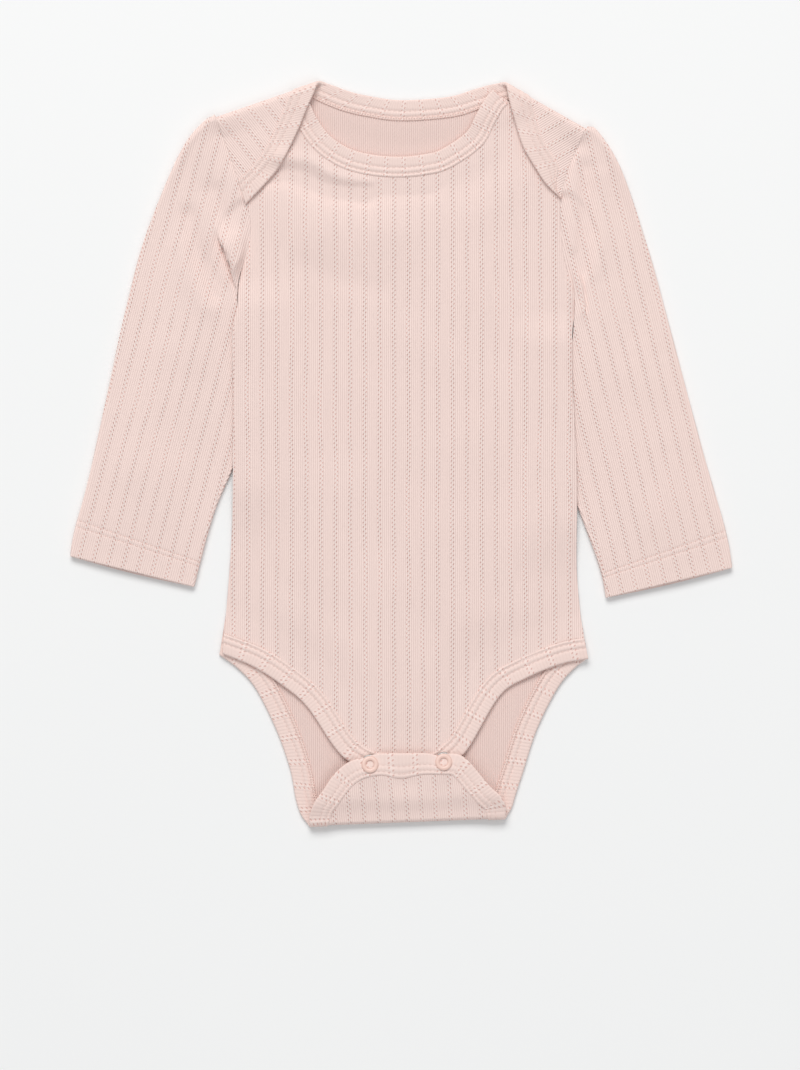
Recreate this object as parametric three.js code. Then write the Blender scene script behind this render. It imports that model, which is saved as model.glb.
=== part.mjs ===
// A long-sleeved baby bodysuit with lap shoulders, laid flat on its back with the crotch snaps closed.
// Millimetres. +X is to the right as seen from above, +Y towards the neck, +Z up from the surface.
// The origin is on the surface, under the middle of the garment's plan.
import * as THREE from 'three';

// Cloth
const CLOTH = 1.0; // one layer of interlock knit
const BAND = 2.2; // a bound edge: the strip's two legs with the panel's edge pressed between them
const BAND_WIDTH = 12;
const HEM = 1.6; // the cuff's turned-up double layer, pressed
const HEM_WIDTH = 18;
const SEAM_GAP = 0.3;
const FOLD_SEAM_GAP = 0.5;
const ARMHOLE_GAP = 0.45;
const LAYER = CLOTH + SEAM_GAP;
const BAND_EXTRA = (BAND - CLOTH) / 2;

// Folds and soft heights
const SHOULDER_RADIUS = 2.5;
const CROTCH_RADIUS = 2.0;
const SLEEVE_EDGE_RADIUS = 1.3;
const BODY_PUFF = 2.2;
const SLEEVE_PUFF = 2.0;
const FLAP_SLACK = 0.5;
const SLEEVE_LIFT = 2.8; // the body's side edge lies over the tucked sleeve
const TUCK = 12;
const TUCK_SLOPE = 36;
const LEVEL = 2; // how far a bound edge's level goes on past the band
const EASE = 13; // and how far it then takes to come down
const PUFF_REACH = { side: 40, edge: 46 }; // where the puff is full: in from the sides, in from neck and legs
const RING_REACH = { full: 14, none: 50 }; // the front is raised this far round its crotch end for the rings
const FLAP_DROP = 12; // how far in from the shoulder fold a flap has come down onto the front
const TONGUE_DROP = 22; // and the tongue from the crotch fold

// Snaps
const SNAP = {
  capOuter: 4.8, capInner: 2.4, capHeight: 0.9, plate: 4.3, socketInner: 2.1, knob: 1.5, leaf: 0.6,
};
const SNAP_RING = 0.5;
const SNAP_SIDES = 18;
const KNOB_SHORT = 0.1; // how far the knob stops below the socket's top
const CAP_SHAPE = { bevel: 0.2, crown: 0.5, outer: 0.45, inner: 0.6 }; // two widths, two shares of the height
const RING_ROOM = SNAP_RING + SEAM_GAP;
const SNAP_ROOM = 2 * (SNAP.leaf + SEAM_GAP);
const SNAP_PLACES = [
  { side: 'left', x: -18.0, y: -178.8 },
  { side: 'right', x: 24.5, y: -177.4 },
];

// How finely each piece is divided
const COLUMNS = { shoulder: 4, neck: 14, leg: 8, crotch: 6 };
const ROWS = { armhole: 10, side: 14, fold: 4, flap: 4, tongue: 3 };
const FRONT_TOP = 1; // the armhole row at which the front begins, under the flap
const SLEEVE = { rows: 12, hemRows: 2, hemStep: 1.5 };
const ARC_STEPS = 3;
const SIDE_SPREAD = 0.4; // less than 1 puts the side seam's rows closer together under the arm
const CHORDS = 48; // straight steps that stand for a curve in a distance
const ARC_TABLE = 600; // steps in a bound edge's table of lengths
const SEARCH_STEPS = 1200;
const HALVINGS = 40;

// A sleeve's section, by the share of the way down it (down) and across it (across)
const ARMHOLE_FADE = 12; // how soon the rows across a sleeve turn from the armhole's curve to straight
const SLEEVE_SECTION = {
  seamHeight: 0.3, // down: where the armhole's height has faded out
  shoulderRound: 0.15, // down: where the outer edge is no longer as round as the shoulder
  cuffRound: [0.6, 0.85], // down: where the inner edge becomes as round as the cuff's
  rim: [0.5, 1], // across: from the inner edge's roundness to the outer's
  rise: [0.15, 0.5], // across: where the puff rises
  fall: [0.6, 1], // across: and falls
  cuffFlat: { from: 0.75, by: 0.7 }, // down: the puff sinks by this share towards the cuff
};

// Outlines on the plan, each a smooth curve through its points
const ARMHOLE = {
  left: [[-105.9, 192.1], [-100.1, 175.6], [-91.3, 149.6], [-87.2, 134], [-89, 116], [-92.6, 105.6]],
  right: [[105.4, 186.2], [95.5, 162.3], [91.9, 143], [93.4, 117.9], [96.6, 104], [101.6, 88.4]],
};
const SIDE = {
  left: [[-92.6, 105.6], [-94, 97.7], [-94.8, 84.4], [-97.4, 70.5], [-97, 30], [-97.9, -43.8],
    [-102.2, -103.2]],
  right: [[101.6, 88.4], [99.6, 77], [98.6, 66], [98.9, 42.8], [101.5, -14.9], [101.5, -66.8],
    [105.2, -105.8]],
};
const SHOULDER_LINE = {
  left: { armhole: [-106.9, 195.2], neck: [-49.8, 214.8] },
  right: { armhole: [106.1, 188.9], neck: [61.1, 214.3] },
};
const CROTCH_LINE = { left: [-46.6, -214.8], right: [50.7, -211.0] };
const FLAP_EDGE = {
  left: [[-88.1, 146.1], [-79.2, 155.4], [-69.4, 167.5], [-59.2, 187.7], [-53.2, 202]],
  right: [[90.9, 149.3], [83, 156.8], [77, 165.8], [70, 177.9], [65.5, 192.3], [62.8, 201.9]],
};
const FLAP_NECK_END = { left: [-46, 212], right: [56, 213] };
const BACK_NECK = [[-34.2, 211.4], [-15.1, 206.6], [2, 204.8], [27.6, 206.8], [43.2, 211.4]];
const BACK_NECK_END = { left: [-46, 214.5], right: [58.5, 213] };
const FRONT_NECK = [
  [-54.5, 207], [-52.6, 202.7], [-48.6, 194.1], [-41.1, 184.2], [-29.6, 176.7], [-15.1, 173], [0.5, 172.1],
  [14, 173.6], [23, 176.2], [37.4, 186], [43.2, 196.4], [48.9, 206.2], [53, 210.5],
];
const FRONT_LEG = [
  [-103, -115.3], [-85.2, -122.8], [-68.2, -133.8], [-54.4, -145.9], [-38.8, -169], [-29.6, -177.8],
  [-17, -183.8], [3, -185.6], [22, -183.8], [33, -176], [40.1, -167.8], [57, -139.6], [72.5, -129.2],
  [92.6, -121.1], [108.1, -118.2],
];
const CROTCH_END = { first: 5, last: 9 }; // the points above that lie on the front's crotch end
const BACK_LEG = {
  left: [[-105.2, -115.9], [-93.6, -124.6], [-83.8, -136.1], [-72.3, -159.2], [-64.2, -182.3], [-60, -203]],
  right: [[107.9, -117.8], [99.2, -124.6], [89.9, -136.1], [78.4, -159.2], [70.9, -182.3], [65, -201]],
};
const BACK_LEG_END = { left: [-57.5, -213], right: [62.5, -210] };
const FLAP_TIP_ROW = 4; // the armhole row at which each flap's binding seam ends
const FLAP_TIP_SHORT = 0.03; // the share of that stretch by which the flap's panel stops short of the seam
const TONGUE_CORNER = { left: [-32, -178.5], right: [39, -177] };
const HIP_SEAM = { left: [-102.3, -103.5], right: [105.3, -106.1] };
const TONGUE_EDGE = [
  [-51.2, -203.1], [-45.1, -193.8], [-38.8, -184.6], [-29.6, -177.1], [-15.7, -172.9], [4.5, -172.3],
  [23, -172.5], [36, -174.5], [50.7, -190.9], [58.8, -199.5],
];
const SLEEVE_OUTER = {
  left: [[-106.6, 193.6], [-112.1, 193.9], [-126.5, 175.6], [-146.7, 129.4], [-159.4, 83.2], [-179.6, -9.1],
    [-188.9, -43.8], [-191.4, -59.0]],
  right: [[106.3, 187.4], [112.3, 187.9], [126.9, 164], [143, 117.9], [155.7, 71.7], [174.2, 2.4],
    [187.5, -43.8], [191.4, -65.7]],
};
const SLEEVE_INNER = {
  left: [[-93.2, 105.2], [-95.3, 97], [-96.1, 85], [-94.3, 72], [-88, 45], [-86.5, 20], [-97.7, -9.1],
    [-108.6, -35.7], [-119.6, -76.7]],
  right: [[103.6, 87.6], [102.2, 78], [100.4, 66], [97, 55], [91, 35], [89.5, 5], [102, -30.5],
    [114.5, -65.1], [118.2, -83.0]],
};

const COLOURS = { knit: '#dcbcb2', band: '#d8b5ab', cap: '#d7aba0', metal: '#b9b6b2' };
const SOFT = { roughness: 0.9, metalness: 0 };
const HARD = { cap: { roughness: 0.35, metalness: 0 }, metal: { roughness: 0.35, metalness: 1 } };

// Plane geometry
const flat = ([x, y]) => new THREE.Vector2(x, y);
const along = (points) => new THREE.SplineCurve(points.map(flat));
const ease = (from, to, x) => THREE.MathUtils.smoothstep(x, from, to);
const mix = (a, b, t) => a + (b - a) * t;

function distanceTo(curves) {
  const chains = curves.map((curve) => curve.getSpacedPoints(CHORDS));
  const step = new THREE.Vector2();
  const offset = new THREE.Vector2();
  return (x, y) => {
    let nearest = Infinity;
    for (const chain of chains) {
      for (let i = 1; i < chain.length; i += 1) {
        step.subVectors(chain[i], chain[i - 1]);
        offset.set(x, y).sub(chain[i - 1]);
        const t = THREE.MathUtils.clamp(offset.dot(step) / step.lengthSq(), 0, 1);
        nearest = Math.min(nearest, offset.addScaledVector(step, -t).length());
      }
    }
    return nearest;
  };
}

// A straight fold of the back piece. Cloth past the line goes round a half circle and lies on top.
// The silhouette given is the garment's own outline there, and the line is where the curve begins.
function foldLine(start, end, radius) {
  const direction = flat(end).sub(flat(start)).normalize();
  const outward = new THREE.Vector2(-direction.y, direction.x);
  const point = flat(start).addScaledVector(outward, -radius - BAND_EXTRA / 2 - CLOTH / 2);
  const turn = Math.PI * radius;
  const beyond = (p) => p.clone().sub(point).dot(outward);
  return {
    outward, radius, turn, beyond,
    // from the plan of the folded-over layer to the flat pattern
    unfold(p) {
      const inside = -beyond(p);
      return p.clone().addScaledVector(outward, 2 * inside + turn);
    },
  };
}

const SHOULDER = {
  left: foldLine(SHOULDER_LINE.left.armhole, SHOULDER_LINE.left.neck, SHOULDER_RADIUS),
  right: foldLine(SHOULDER_LINE.right.neck, SHOULDER_LINE.right.armhole, SHOULDER_RADIUS),
};
const CROTCH = foldLine(CROTCH_LINE.right, CROTCH_LINE.left, CROTCH_RADIUS);

// Distances on the plan that the layers' heights follow
const toBackEdges = distanceTo([
  along([BACK_NECK_END.left, ...BACK_NECK, BACK_NECK_END.right]),
  along([...BACK_LEG.left, BACK_LEG_END.left]),
  along([...BACK_LEG.right, BACK_LEG_END.right]),
]);
const toFrontNeck = distanceTo([along(FRONT_NECK)]);
const toFrontEdges = distanceTo([along(FRONT_NECK), along(FRONT_LEG)]);
const flapEdge = (side) => along([...FLAP_EDGE[side], FLAP_NECK_END[side]]);
const toFlapEdges = distanceTo([flapEdge('left'), flapEdge('right')]);
const toTongueEdge = distanceTo([along(TONGUE_EDGE)]);
const toSides = distanceTo([along(SIDE.left), along(SIDE.right), along(ARMHOLE.left), along(ARMHOLE.right)]);
const toCrotchEnd = distanceTo([along(FRONT_LEG.slice(CROTCH_END.first, CROTCH_END.last + 1))]);
const nearBand = (distance) => 1 - ease(BAND_WIDTH + LEVEL, BAND_WIDTH + LEVEL + EASE, distance);

// Where each side edge of the body lies over a sleeve: from the underarm to where the sleeve comes out
const TUCKED = [
  { side: -1, edge: 97.4, top: 104, full: 82, out: -15, end: -52 },
  { side: 1, edge: 99.5, top: 85, full: 63, out: -37, end: -74 },
];
function sleeveLift(x, y) {
  return TUCKED.reduce((lift, t) => {
    const inward = t.edge - t.side * x;
    const across = 1 - ease(TUCK, TUCK + TUCK_SLOPE, inward);
    return lift + SLEEVE_LIFT * across * (1 - ease(t.full, t.top, y)) * ease(t.end, t.out, y);
  }, 0);
}

// Heights of the middle of each layer above the surface
const backHeight = (x, y) => CLOTH / 2 + BAND_EXTRA * nearBand(toBackEdges(x, y)) + sleeveLift(x, y);

function frontHeight(x, y) {
  const bands = nearBand(toBackEdges(x, y)) + nearBand(toFrontEdges(x, y));
  const inFromSides = ease(0, PUFF_REACH.side, toSides(x, y));
  const puff = BODY_PUFF * inFromSides * ease(BAND_WIDTH, PUFF_REACH.edge, toFrontEdges(x, y));
  const ring = RING_ROOM * (1 - ease(RING_REACH.full, RING_REACH.none, toCrotchEnd(x, y)));
  return backHeight(x, y) + LAYER + BAND_EXTRA * bands + puff + ring;
}

function flapHeight(x, y, inside) {
  const bands = nearBand(toFrontNeck(x, y)) + nearBand(toFlapEdges(x, y));
  const stacked = frontHeight(x, y) + LAYER + FLAP_SLACK + BAND_EXTRA * bands;
  return mix(backHeight(x, y) + 2 * SHOULDER_RADIUS, stacked, ease(0, FLAP_DROP, inside));
}

function tongueHeight(x, y, inside) {
  const bands = nearBand(toFrontEdges(x, y)) + nearBand(toTongueEdge(x, y));
  const stacked = frontHeight(x, y) + LAYER + BAND_EXTRA * bands + SNAP_ROOM;
  return mix(backHeight(x, y) + 2 * CROTCH_RADIUS, stacked, ease(0, TONGUE_DROP, inside));
}

// Places on a layer: the middle of the cloth, and the direction across it
const place = (x, y, z, normal = new THREE.Vector3(0, 0, 1)) => ({ at: new THREE.Vector3(x, y, z), normal });
const onFront = (p) => place(p.x, p.y, frontHeight(p.x, p.y));

function roundFold(fold, heightOnTop, p) {
  const beyond = fold.beyond(p);
  const foot = p.clone().addScaledVector(fold.outward, -beyond);
  const low = backHeight(foot.x, foot.y);
  if (beyond >= fold.turn - 1e-6) {
    const inside = beyond - fold.turn;
    foot.addScaledVector(fold.outward, -inside);
    return place(foot.x, foot.y, heightOnTop(foot.x, foot.y, inside), new THREE.Vector3(0, 0, -1));
  }
  const angle = beyond / fold.radius;
  foot.addScaledVector(fold.outward, fold.radius * Math.sin(angle));
  const lean = fold.outward.clone().multiplyScalar(-Math.sin(angle));
  const normal = new THREE.Vector3(lean.x, lean.y, Math.cos(angle));
  return place(foot.x, foot.y, low + fold.radius * (1 - Math.cos(angle)), normal);
}

// From the back piece's flat pattern to where its cloth lies
function onBack(p) {
  if (SHOULDER.left.beyond(p) > 0 && p.x < 0 && p.y > 0) return roundFold(SHOULDER.left, flapHeight, p);
  if (SHOULDER.right.beyond(p) > 0 && p.x > 0 && p.y > 0) return roundFold(SHOULDER.right, flapHeight, p);
  if (CROTCH.beyond(p) > 0) return roundFold(CROTCH, tongueHeight, p);
  return place(p.x, p.y, backHeight(p.x, p.y));
}

// Meshes
class Shell {
  constructor() {
    this.positions = [];
    this.faces = [];
  }

  add(v) {
    this.positions.push(v.x, v.y, v.z);
    return this.positions.length / 3 - 1;
  }

  quad(a, b, c, d) {
    if (a !== b && b !== c && c !== a) this.faces.push(a, b, c);
    if (a !== c && c !== d && d !== a) this.faces.push(a, c, d);
  }

  geometry() {
    const made = new THREE.BufferGeometry();
    made.setAttribute('position', new THREE.Float32BufferAttribute(this.positions, 3));
    made.setIndex(this.faces);
    made.computeVertexNormals();
    return made;
  }
}

// A wall of cloth from grids of places. Grids that share a row are joined there, each place is given a face
// on both sides, and the free edges are closed. The wall on the far side may be thicker, as at a hem.
function wall(grids) {
  const shell = new Shell();
  const seen = new Map();
  const corners = [];
  const vertex = (spot) => {
    const key = spot.at.toArray().map((v) => Math.round(v * 1000)).join();
    if (!seen.has(key)) {
      const outer = shell.add(spot.at.clone().addScaledVector(spot.normal, CLOTH / 2));
      const under = shell.add(spot.at.clone().addScaledVector(spot.normal, -(spot.under ?? CLOTH / 2)));
      seen.set(key, { outer, under, id: seen.size });
    }
    return seen.get(key);
  };
  for (const grid of grids) {
    for (let r = 1; r < grid.length; r += 1) {
      for (let c = 1; c < grid[r].length; c += 1) {
        corners.push([grid[r - 1][c - 1], grid[r][c - 1], grid[r][c], grid[r - 1][c]].map(vertex));
      }
    }
  }
  const open = new Map();
  for (const face of corners) {
    shell.quad(...face.map((v) => v.outer));
    shell.quad(...face.map((v) => v.under).reverse());
    face.forEach((a, i) => {
      const b = face[(i + 1) % face.length];
      if (a === b) return;
      if (open.has(`${b.id},${a.id}`)) open.delete(`${b.id},${a.id}`);
      else open.set(`${a.id},${b.id}`, [a, b]);
    });
  }
  for (const [a, b] of open.values()) shell.quad(a.outer, a.under, b.under, b.outer);
  return shell.geometry();
}

// Fills the inside of four border lines, corner to corner, the way a stretched cloth would
function fill(top, bottom, left, right) {
  const shares = (line) => {
    const sums = [0];
    for (let i = 1; i < line.length; i += 1) sums.push(sums[i - 1] + line[i].distanceTo(line[i - 1]));
    return sums.map((s) => s / sums.at(-1));
  };
  const [us, ub, vl, vr] = [top, bottom, left, right].map(shares);
  return left.map((_, j) => top.map((__, i) => {
    const u = mix(us[i], ub[i], j / (left.length - 1));
    const v = mix(vl[j], vr[j], i / (top.length - 1));
    if (j === 0) return top[i];
    if (j === left.length - 1) return bottom[i];
    if (i === 0) return left[j];
    if (i === top.length - 1) return right[j];
    const p = new THREE.Vector2();
    p.addScaledVector(top[i], 1 - v).addScaledVector(bottom[i], v);
    p.addScaledVector(left[j], 1 - u).addScaledVector(right[j], u);
    p.addScaledVector(top[0], -(1 - u) * (1 - v)).addScaledVector(top.at(-1), -u * (1 - v));
    return p.addScaledVector(bottom[0], -(1 - u) * v).addScaledVector(bottom.at(-1), -u * v);
  }));
}

// Bound edges. A path is the outer edge on the flat pattern, with the panel on its right-hand side.
class BoundEdge {
  constructor(points) {
    this.curve = new THREE.SplineCurve(points);
    this.curve.arcLengthDivisions = ARC_TABLE;
    this.length = this.curve.getLength();
  }

  edge(s) {
    return this.curve.getPointAt(THREE.MathUtils.clamp(s / this.length, 0, 1));
  }

  seam(s) {
    const tangent = this.curve.getTangentAt(THREE.MathUtils.clamp(s / this.length, 0, 1));
    return this.edge(s).add(new THREE.Vector2(tangent.y, -tangent.x).multiplyScalar(BAND_WIDTH));
  }

  nearest(target) {
    const steps = Array.from({ length: SEARCH_STEPS }, (_, k) => (this.length * k) / SEARCH_STEPS);
    return steps.reduce((best, s) => (
      this.edge(s).distanceTo(target) < this.edge(best).distanceTo(target) ? s : best), 0);
  }

  // the length along the path at which the edge, or the seam, crosses a line beyond a fold
  crossing(point, fold, beyond, from, to) {
    const side = (s) => fold.beyond(point(s)) - beyond;
    const rising = side(to) > side(from);
    let [low, high] = [from, to];
    for (let i = 0; i < HALVINGS; i += 1) {
      const middle = (low + high) / 2;
      if (side(middle) > 0 === rising) high = middle;
      else low = middle;
    }
    return (low + high) / 2;
  }

  // stations across the rows of a fold, in the order in which the path meets them
  foldStations(fold, from, to, goingOut) {
    const rows = Array.from({ length: ROWS.fold + 1 }, (_, k) => (fold.turn * k) / ROWS.fold);
    if (!goingOut) rows.reverse();
    return rows.map((beyond) => ({
      edge: this.crossing((s) => this.edge(s), fold, beyond, from, to),
      seam: this.crossing((s) => this.seam(s), fold, beyond, from, to),
      fold: true,
    }));
  }

  // stations spread evenly between two stations, both included
  between(a, b, count) {
    return Array.from({ length: count + 1 }, (_, k) => ({
      edge: mix(a.edge, b.edge, k / count), seam: mix(a.seam, b.seam, k / count),
    }));
  }

  points(stations, firstSeam, lastSeam) {
    const made = stations.map((s) => ({ edge: this.edge(s.edge), seam: this.seam(s.seam), fold: s.fold }));
    if (firstSeam) made[0].seam = firstSeam;
    if (lastSeam) made.at(-1).seam = lastSeam;
    return made;
  }
}

// the panel's own edge, a seam's gap inside the band, and a little more where both go round a fold
const panelEdge = ({ edge, seam, fold }) => {
  const inward = seam.clone().sub(edge);
  return seam.clone().addScaledVector(inward, (fold ? FOLD_SEAM_GAP : SEAM_GAP) / BAND_WIDTH);
};

const NOSE = BAND / 2;
const BAND_SECTION = [
  { in: BAND_WIDTH, out: -NOSE },
  { in: BAND_WIDTH / 2, out: -NOSE },
  ...[-90, -45, 0, 45, 90].map((degrees) => {
    const angle = THREE.MathUtils.degToRad(degrees);
    return { in: NOSE * (1 - Math.cos(angle)), out: NOSE * Math.sin(angle) };
  }),
  { in: BAND_WIDTH / 2, out: NOSE },
  { in: BAND_WIDTH, out: NOSE },
];

function band(stations, onCloth) {
  const shell = new Shell();
  const rings = stations.map(({ edge, seam }) => BAND_SECTION.map((corner) => {
    const spot = onCloth(edge.clone().lerp(seam, corner.in / BAND_WIDTH));
    return shell.add(spot.at.addScaledVector(spot.normal, corner.out));
  }));
  const sides = BAND_SECTION.length;
  for (let r = 1; r < rings.length; r += 1) {
    for (let c = 0; c < sides; c += 1) {
      const d = (c + 1) % sides;
      shell.quad(rings[r - 1][c], rings[r - 1][d], rings[r][d], rings[r][c]);
    }
  }
  for (let c = 1; c < sides - 1; c += 1) {
    shell.faces.push(rings[0][0], rings[0][c + 1], rings[0][c]);
    shell.faces.push(rings.at(-1)[0], rings.at(-1)[c], rings.at(-1)[c + 1]);
  }
  return shell.geometry();
}

// The armhole and side seam of each side, shared by the panels and the sleeve that meet there
const SIDES = ['left', 'right'];
const bothSides = (make) => Object.fromEntries(SIDES.map((side) => [side, make(side)]));
const armhole = bothSides((side) => along(ARMHOLE[side]));
const armholeStations = bothSides((side) => armhole[side].getSpacedPoints(ROWS.armhole));
const sideStations = bothSides((side) => {
  const seam = along(SIDE[side]);
  return Array.from({ length: ROWS.side }, (_, k) => {
    const t = (k + 1) / ROWS.side;
    return seam.getPointAt(SIDE_SPREAD * t + (1 - SIDE_SPREAD) * t * t);
  });
});
const sideLine = (side, firstRow, hip) => [
  ...armholeStations[side].slice(firstRow), ...sideStations[side].slice(0, -1), hip,
];
const row = (from, to, count) => (
  Array.from({ length: count + 1 }, (_, k) => from.clone().lerp(to, k / count)));

// The front piece: one panel, its neck bound in one strip, its legs and crotch end in another
const frontNeck = new BoundEdge(FRONT_NECK.map(flat));
const frontLeg = new BoundEdge(FRONT_LEG.map(flat).reverse());
const start = { edge: 0, seam: 0 };
const finish = (bound) => ({ edge: bound.length, seam: bound.length });
const hipSeam = bothSides((side) => flat(HIP_SEAM[side]));
const frontNeckStations = frontNeck.points(frontNeck.between(start, finish(frontNeck), COLUMNS.neck));
const frontLegStations = frontLeg.points(
  frontLeg.between(start, finish(frontLeg), 2 * COLUMNS.leg + COLUMNS.crotch), hipSeam.right, hipSeam.left,
);

function frontPanel() {
  const neck = frontNeckStations.map(panelEdge);
  const leg = frontLegStations.map(panelEdge).reverse();
  const shoulder = bothSides((side) => armholeStations[side][FRONT_TOP]);
  const top = [
    ...row(shoulder.left, neck[0], COLUMNS.shoulder).slice(0, -1),
    ...neck,
    ...row(neck.at(-1), shoulder.right, COLUMNS.shoulder).slice(1),
  ];
  const plan = fill(top, leg, sideLine('left', FRONT_TOP, leg[0]), sideLine('right', FRONT_TOP, leg.at(-1)));
  return wall([plan.map((line) => line.map(onFront))]);
}

// The back piece on its flat pattern: the body, a flap beyond each shoulder fold, a tongue beyond the crotch fold
const backNeck = new BoundEdge([
  ...FLAP_EDGE.left.map((p) => SHOULDER.left.unfold(flat(p))),
  ...BACK_NECK.map(flat),
  ...FLAP_EDGE.right.map((p) => SHOULDER.right.unfold(flat(p))).reverse(),
]);
const backLeg = new BoundEdge([
  ...BACK_LEG.right.map(flat),
  ...TONGUE_EDGE.map((p) => CROTCH.unfold(flat(p))).reverse(),
  ...BACK_LEG.left.map(flat).reverse(),
]);
const shoulderRows = {
  left: backNeck.foldStations(SHOULDER.left, 0, backNeck.length / 2, false),
  right: backNeck.foldStations(SHOULDER.right, backNeck.length / 2, backNeck.length, true),
};
const crotchRows = {
  right: backLeg.foldStations(CROTCH, 0, backLeg.length / 2, true),
  left: backLeg.foldStations(CROTCH, backLeg.length / 2, backLeg.length, false),
};
const tongueCorner = bothSides((side) => {
  const s = backLeg.nearest(CROTCH.unfold(flat(TONGUE_CORNER[side])));
  return { edge: s, seam: s };
});

function chain(bound, stops) {
  const lists = stops.map((stop, k) => {
    if (Array.isArray(stop)) return stop.slice(1);
    return bound.between(stop.from, stop.to, stop.count).slice(k ? 1 : 0);
  });
  return lists.flat();
}

const backNeckList = chain(backNeck, [
  { from: start, to: shoulderRows.left[0], count: ROWS.flap + 1 },
  shoulderRows.left,
  { from: shoulderRows.left.at(-1), to: shoulderRows.right[0], count: COLUMNS.neck },
  shoulderRows.right,
  { from: shoulderRows.right.at(-1), to: finish(backNeck), count: ROWS.flap + 1 },
]);
const flapTip = bothSides((side) => {
  const end = armholeStations[side][FLAP_TIP_ROW];
  return SHOULDER[side].unfold(end.clone().add(new THREE.Vector2(-Math.sign(end.x) * SEAM_GAP, 0)));
});
const backNeckStations = backNeck.points(backNeckList, flapTip.left, flapTip.right);

const backLegList = chain(backLeg, [
  { from: start, to: crotchRows.right[0], count: COLUMNS.leg },
  crotchRows.right,
  { from: crotchRows.right.at(-1), to: tongueCorner.right, count: ROWS.tongue },
  { from: tongueCorner.right, to: tongueCorner.left, count: COLUMNS.crotch },
  { from: tongueCorner.left, to: crotchRows.left[0], count: ROWS.tongue },
  crotchRows.left,
  { from: crotchRows.left.at(-1), to: finish(backLeg), count: COLUMNS.leg },
]);
const backLegStations = backLeg.points(backLegList, hipSeam.right, hipSeam.left);

function backPanel() {
  const neck = backNeckStations.map(panelEdge);
  const leg = backLegStations.map(panelEdge).reverse();
  const flapRows = ROWS.flap + 1 + ROWS.fold;
  const tongueRows = ROWS.tongue + ROWS.fold;
  const onLine = bothSides((side) => {
    const top = armholeStations[side][0];
    return top.clone().addScaledVector(SHOULDER[side].outward, -SHOULDER[side].beyond(top));
  });

  // the body
  const top = [
    ...row(onLine.left, neck[flapRows], COLUMNS.shoulder).slice(0, -1),
    ...neck.slice(flapRows, flapRows + COLUMNS.neck + 1),
    ...row(neck[flapRows + COLUMNS.neck], onLine.right, COLUMNS.shoulder).slice(1),
  ];
  const legEnd = leg.length - 1 - COLUMNS.leg;
  const bottom = [
    ...leg.slice(0, COLUMNS.leg),
    ...row(leg[COLUMNS.leg], leg[legEnd], COLUMNS.crotch),
    ...leg.slice(legEnd + 1),
  ];
  const sides = bothSides((side) => sideLine(side, 0, side === 'left' ? leg[0] : leg.at(-1)));
  SIDES.forEach((side) => { sides[side][0] = onLine[side]; });
  const body = fill(top, bottom, sides.left, sides.right);

  // each flap: the rows round the fold, then the rows down the armhole to the tip
  const flapRow = (side, k, edgePoint) => {
    const fold = SHOULDER[side];
    const past = Math.min(k / ROWS.fold, 1) * fold.turn;
    let from = onLine[side].clone().addScaledVector(fold.outward, past);
    if (k > ROWS.fold) {
      const hole = armholeStations[side][k - ROWS.fold].clone();
      from = fold.unfold(k === flapRows - 1 ? hole.lerp(armholeStations[side][0], FLAP_TIP_SHORT) : hole);
    }
    const line = row(from, edgePoint, COLUMNS.shoulder);
    return side === 'left' ? line : line.reverse();
  };
  const flaps = [];
  const leftFlap = Array.from({ length: flapRows }, (_, k) => flapRow('left', k, neck[flapRows - k]));
  flaps.push(leftFlap.reverse());
  const rightStart = flapRows + COLUMNS.neck;
  const rightFlap = Array.from({ length: flapRows }, (_, k) => flapRow('right', k, neck[rightStart + k]));
  flaps.push(rightFlap.reverse());

  // the tongue
  const down = leg.slice(COLUMNS.leg, COLUMNS.leg + tongueRows + 1);
  const up = leg.slice(legEnd - tongueRows, legEnd + 1).reverse();
  const round = down.slice(0, ROWS.fold + 1).map((p, k) => row(p, up[k], COLUMNS.crotch));
  const end = leg.slice(COLUMNS.leg + tongueRows, legEnd - tongueRows + 1);
  const tongue = fill(round.at(-1), end, down.slice(ROWS.fold), up.slice(ROWS.fold));

  return wall([body, ...flaps, round, tongue].map((grid) => grid.map((line) => line.map(onBack))));
}

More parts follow.
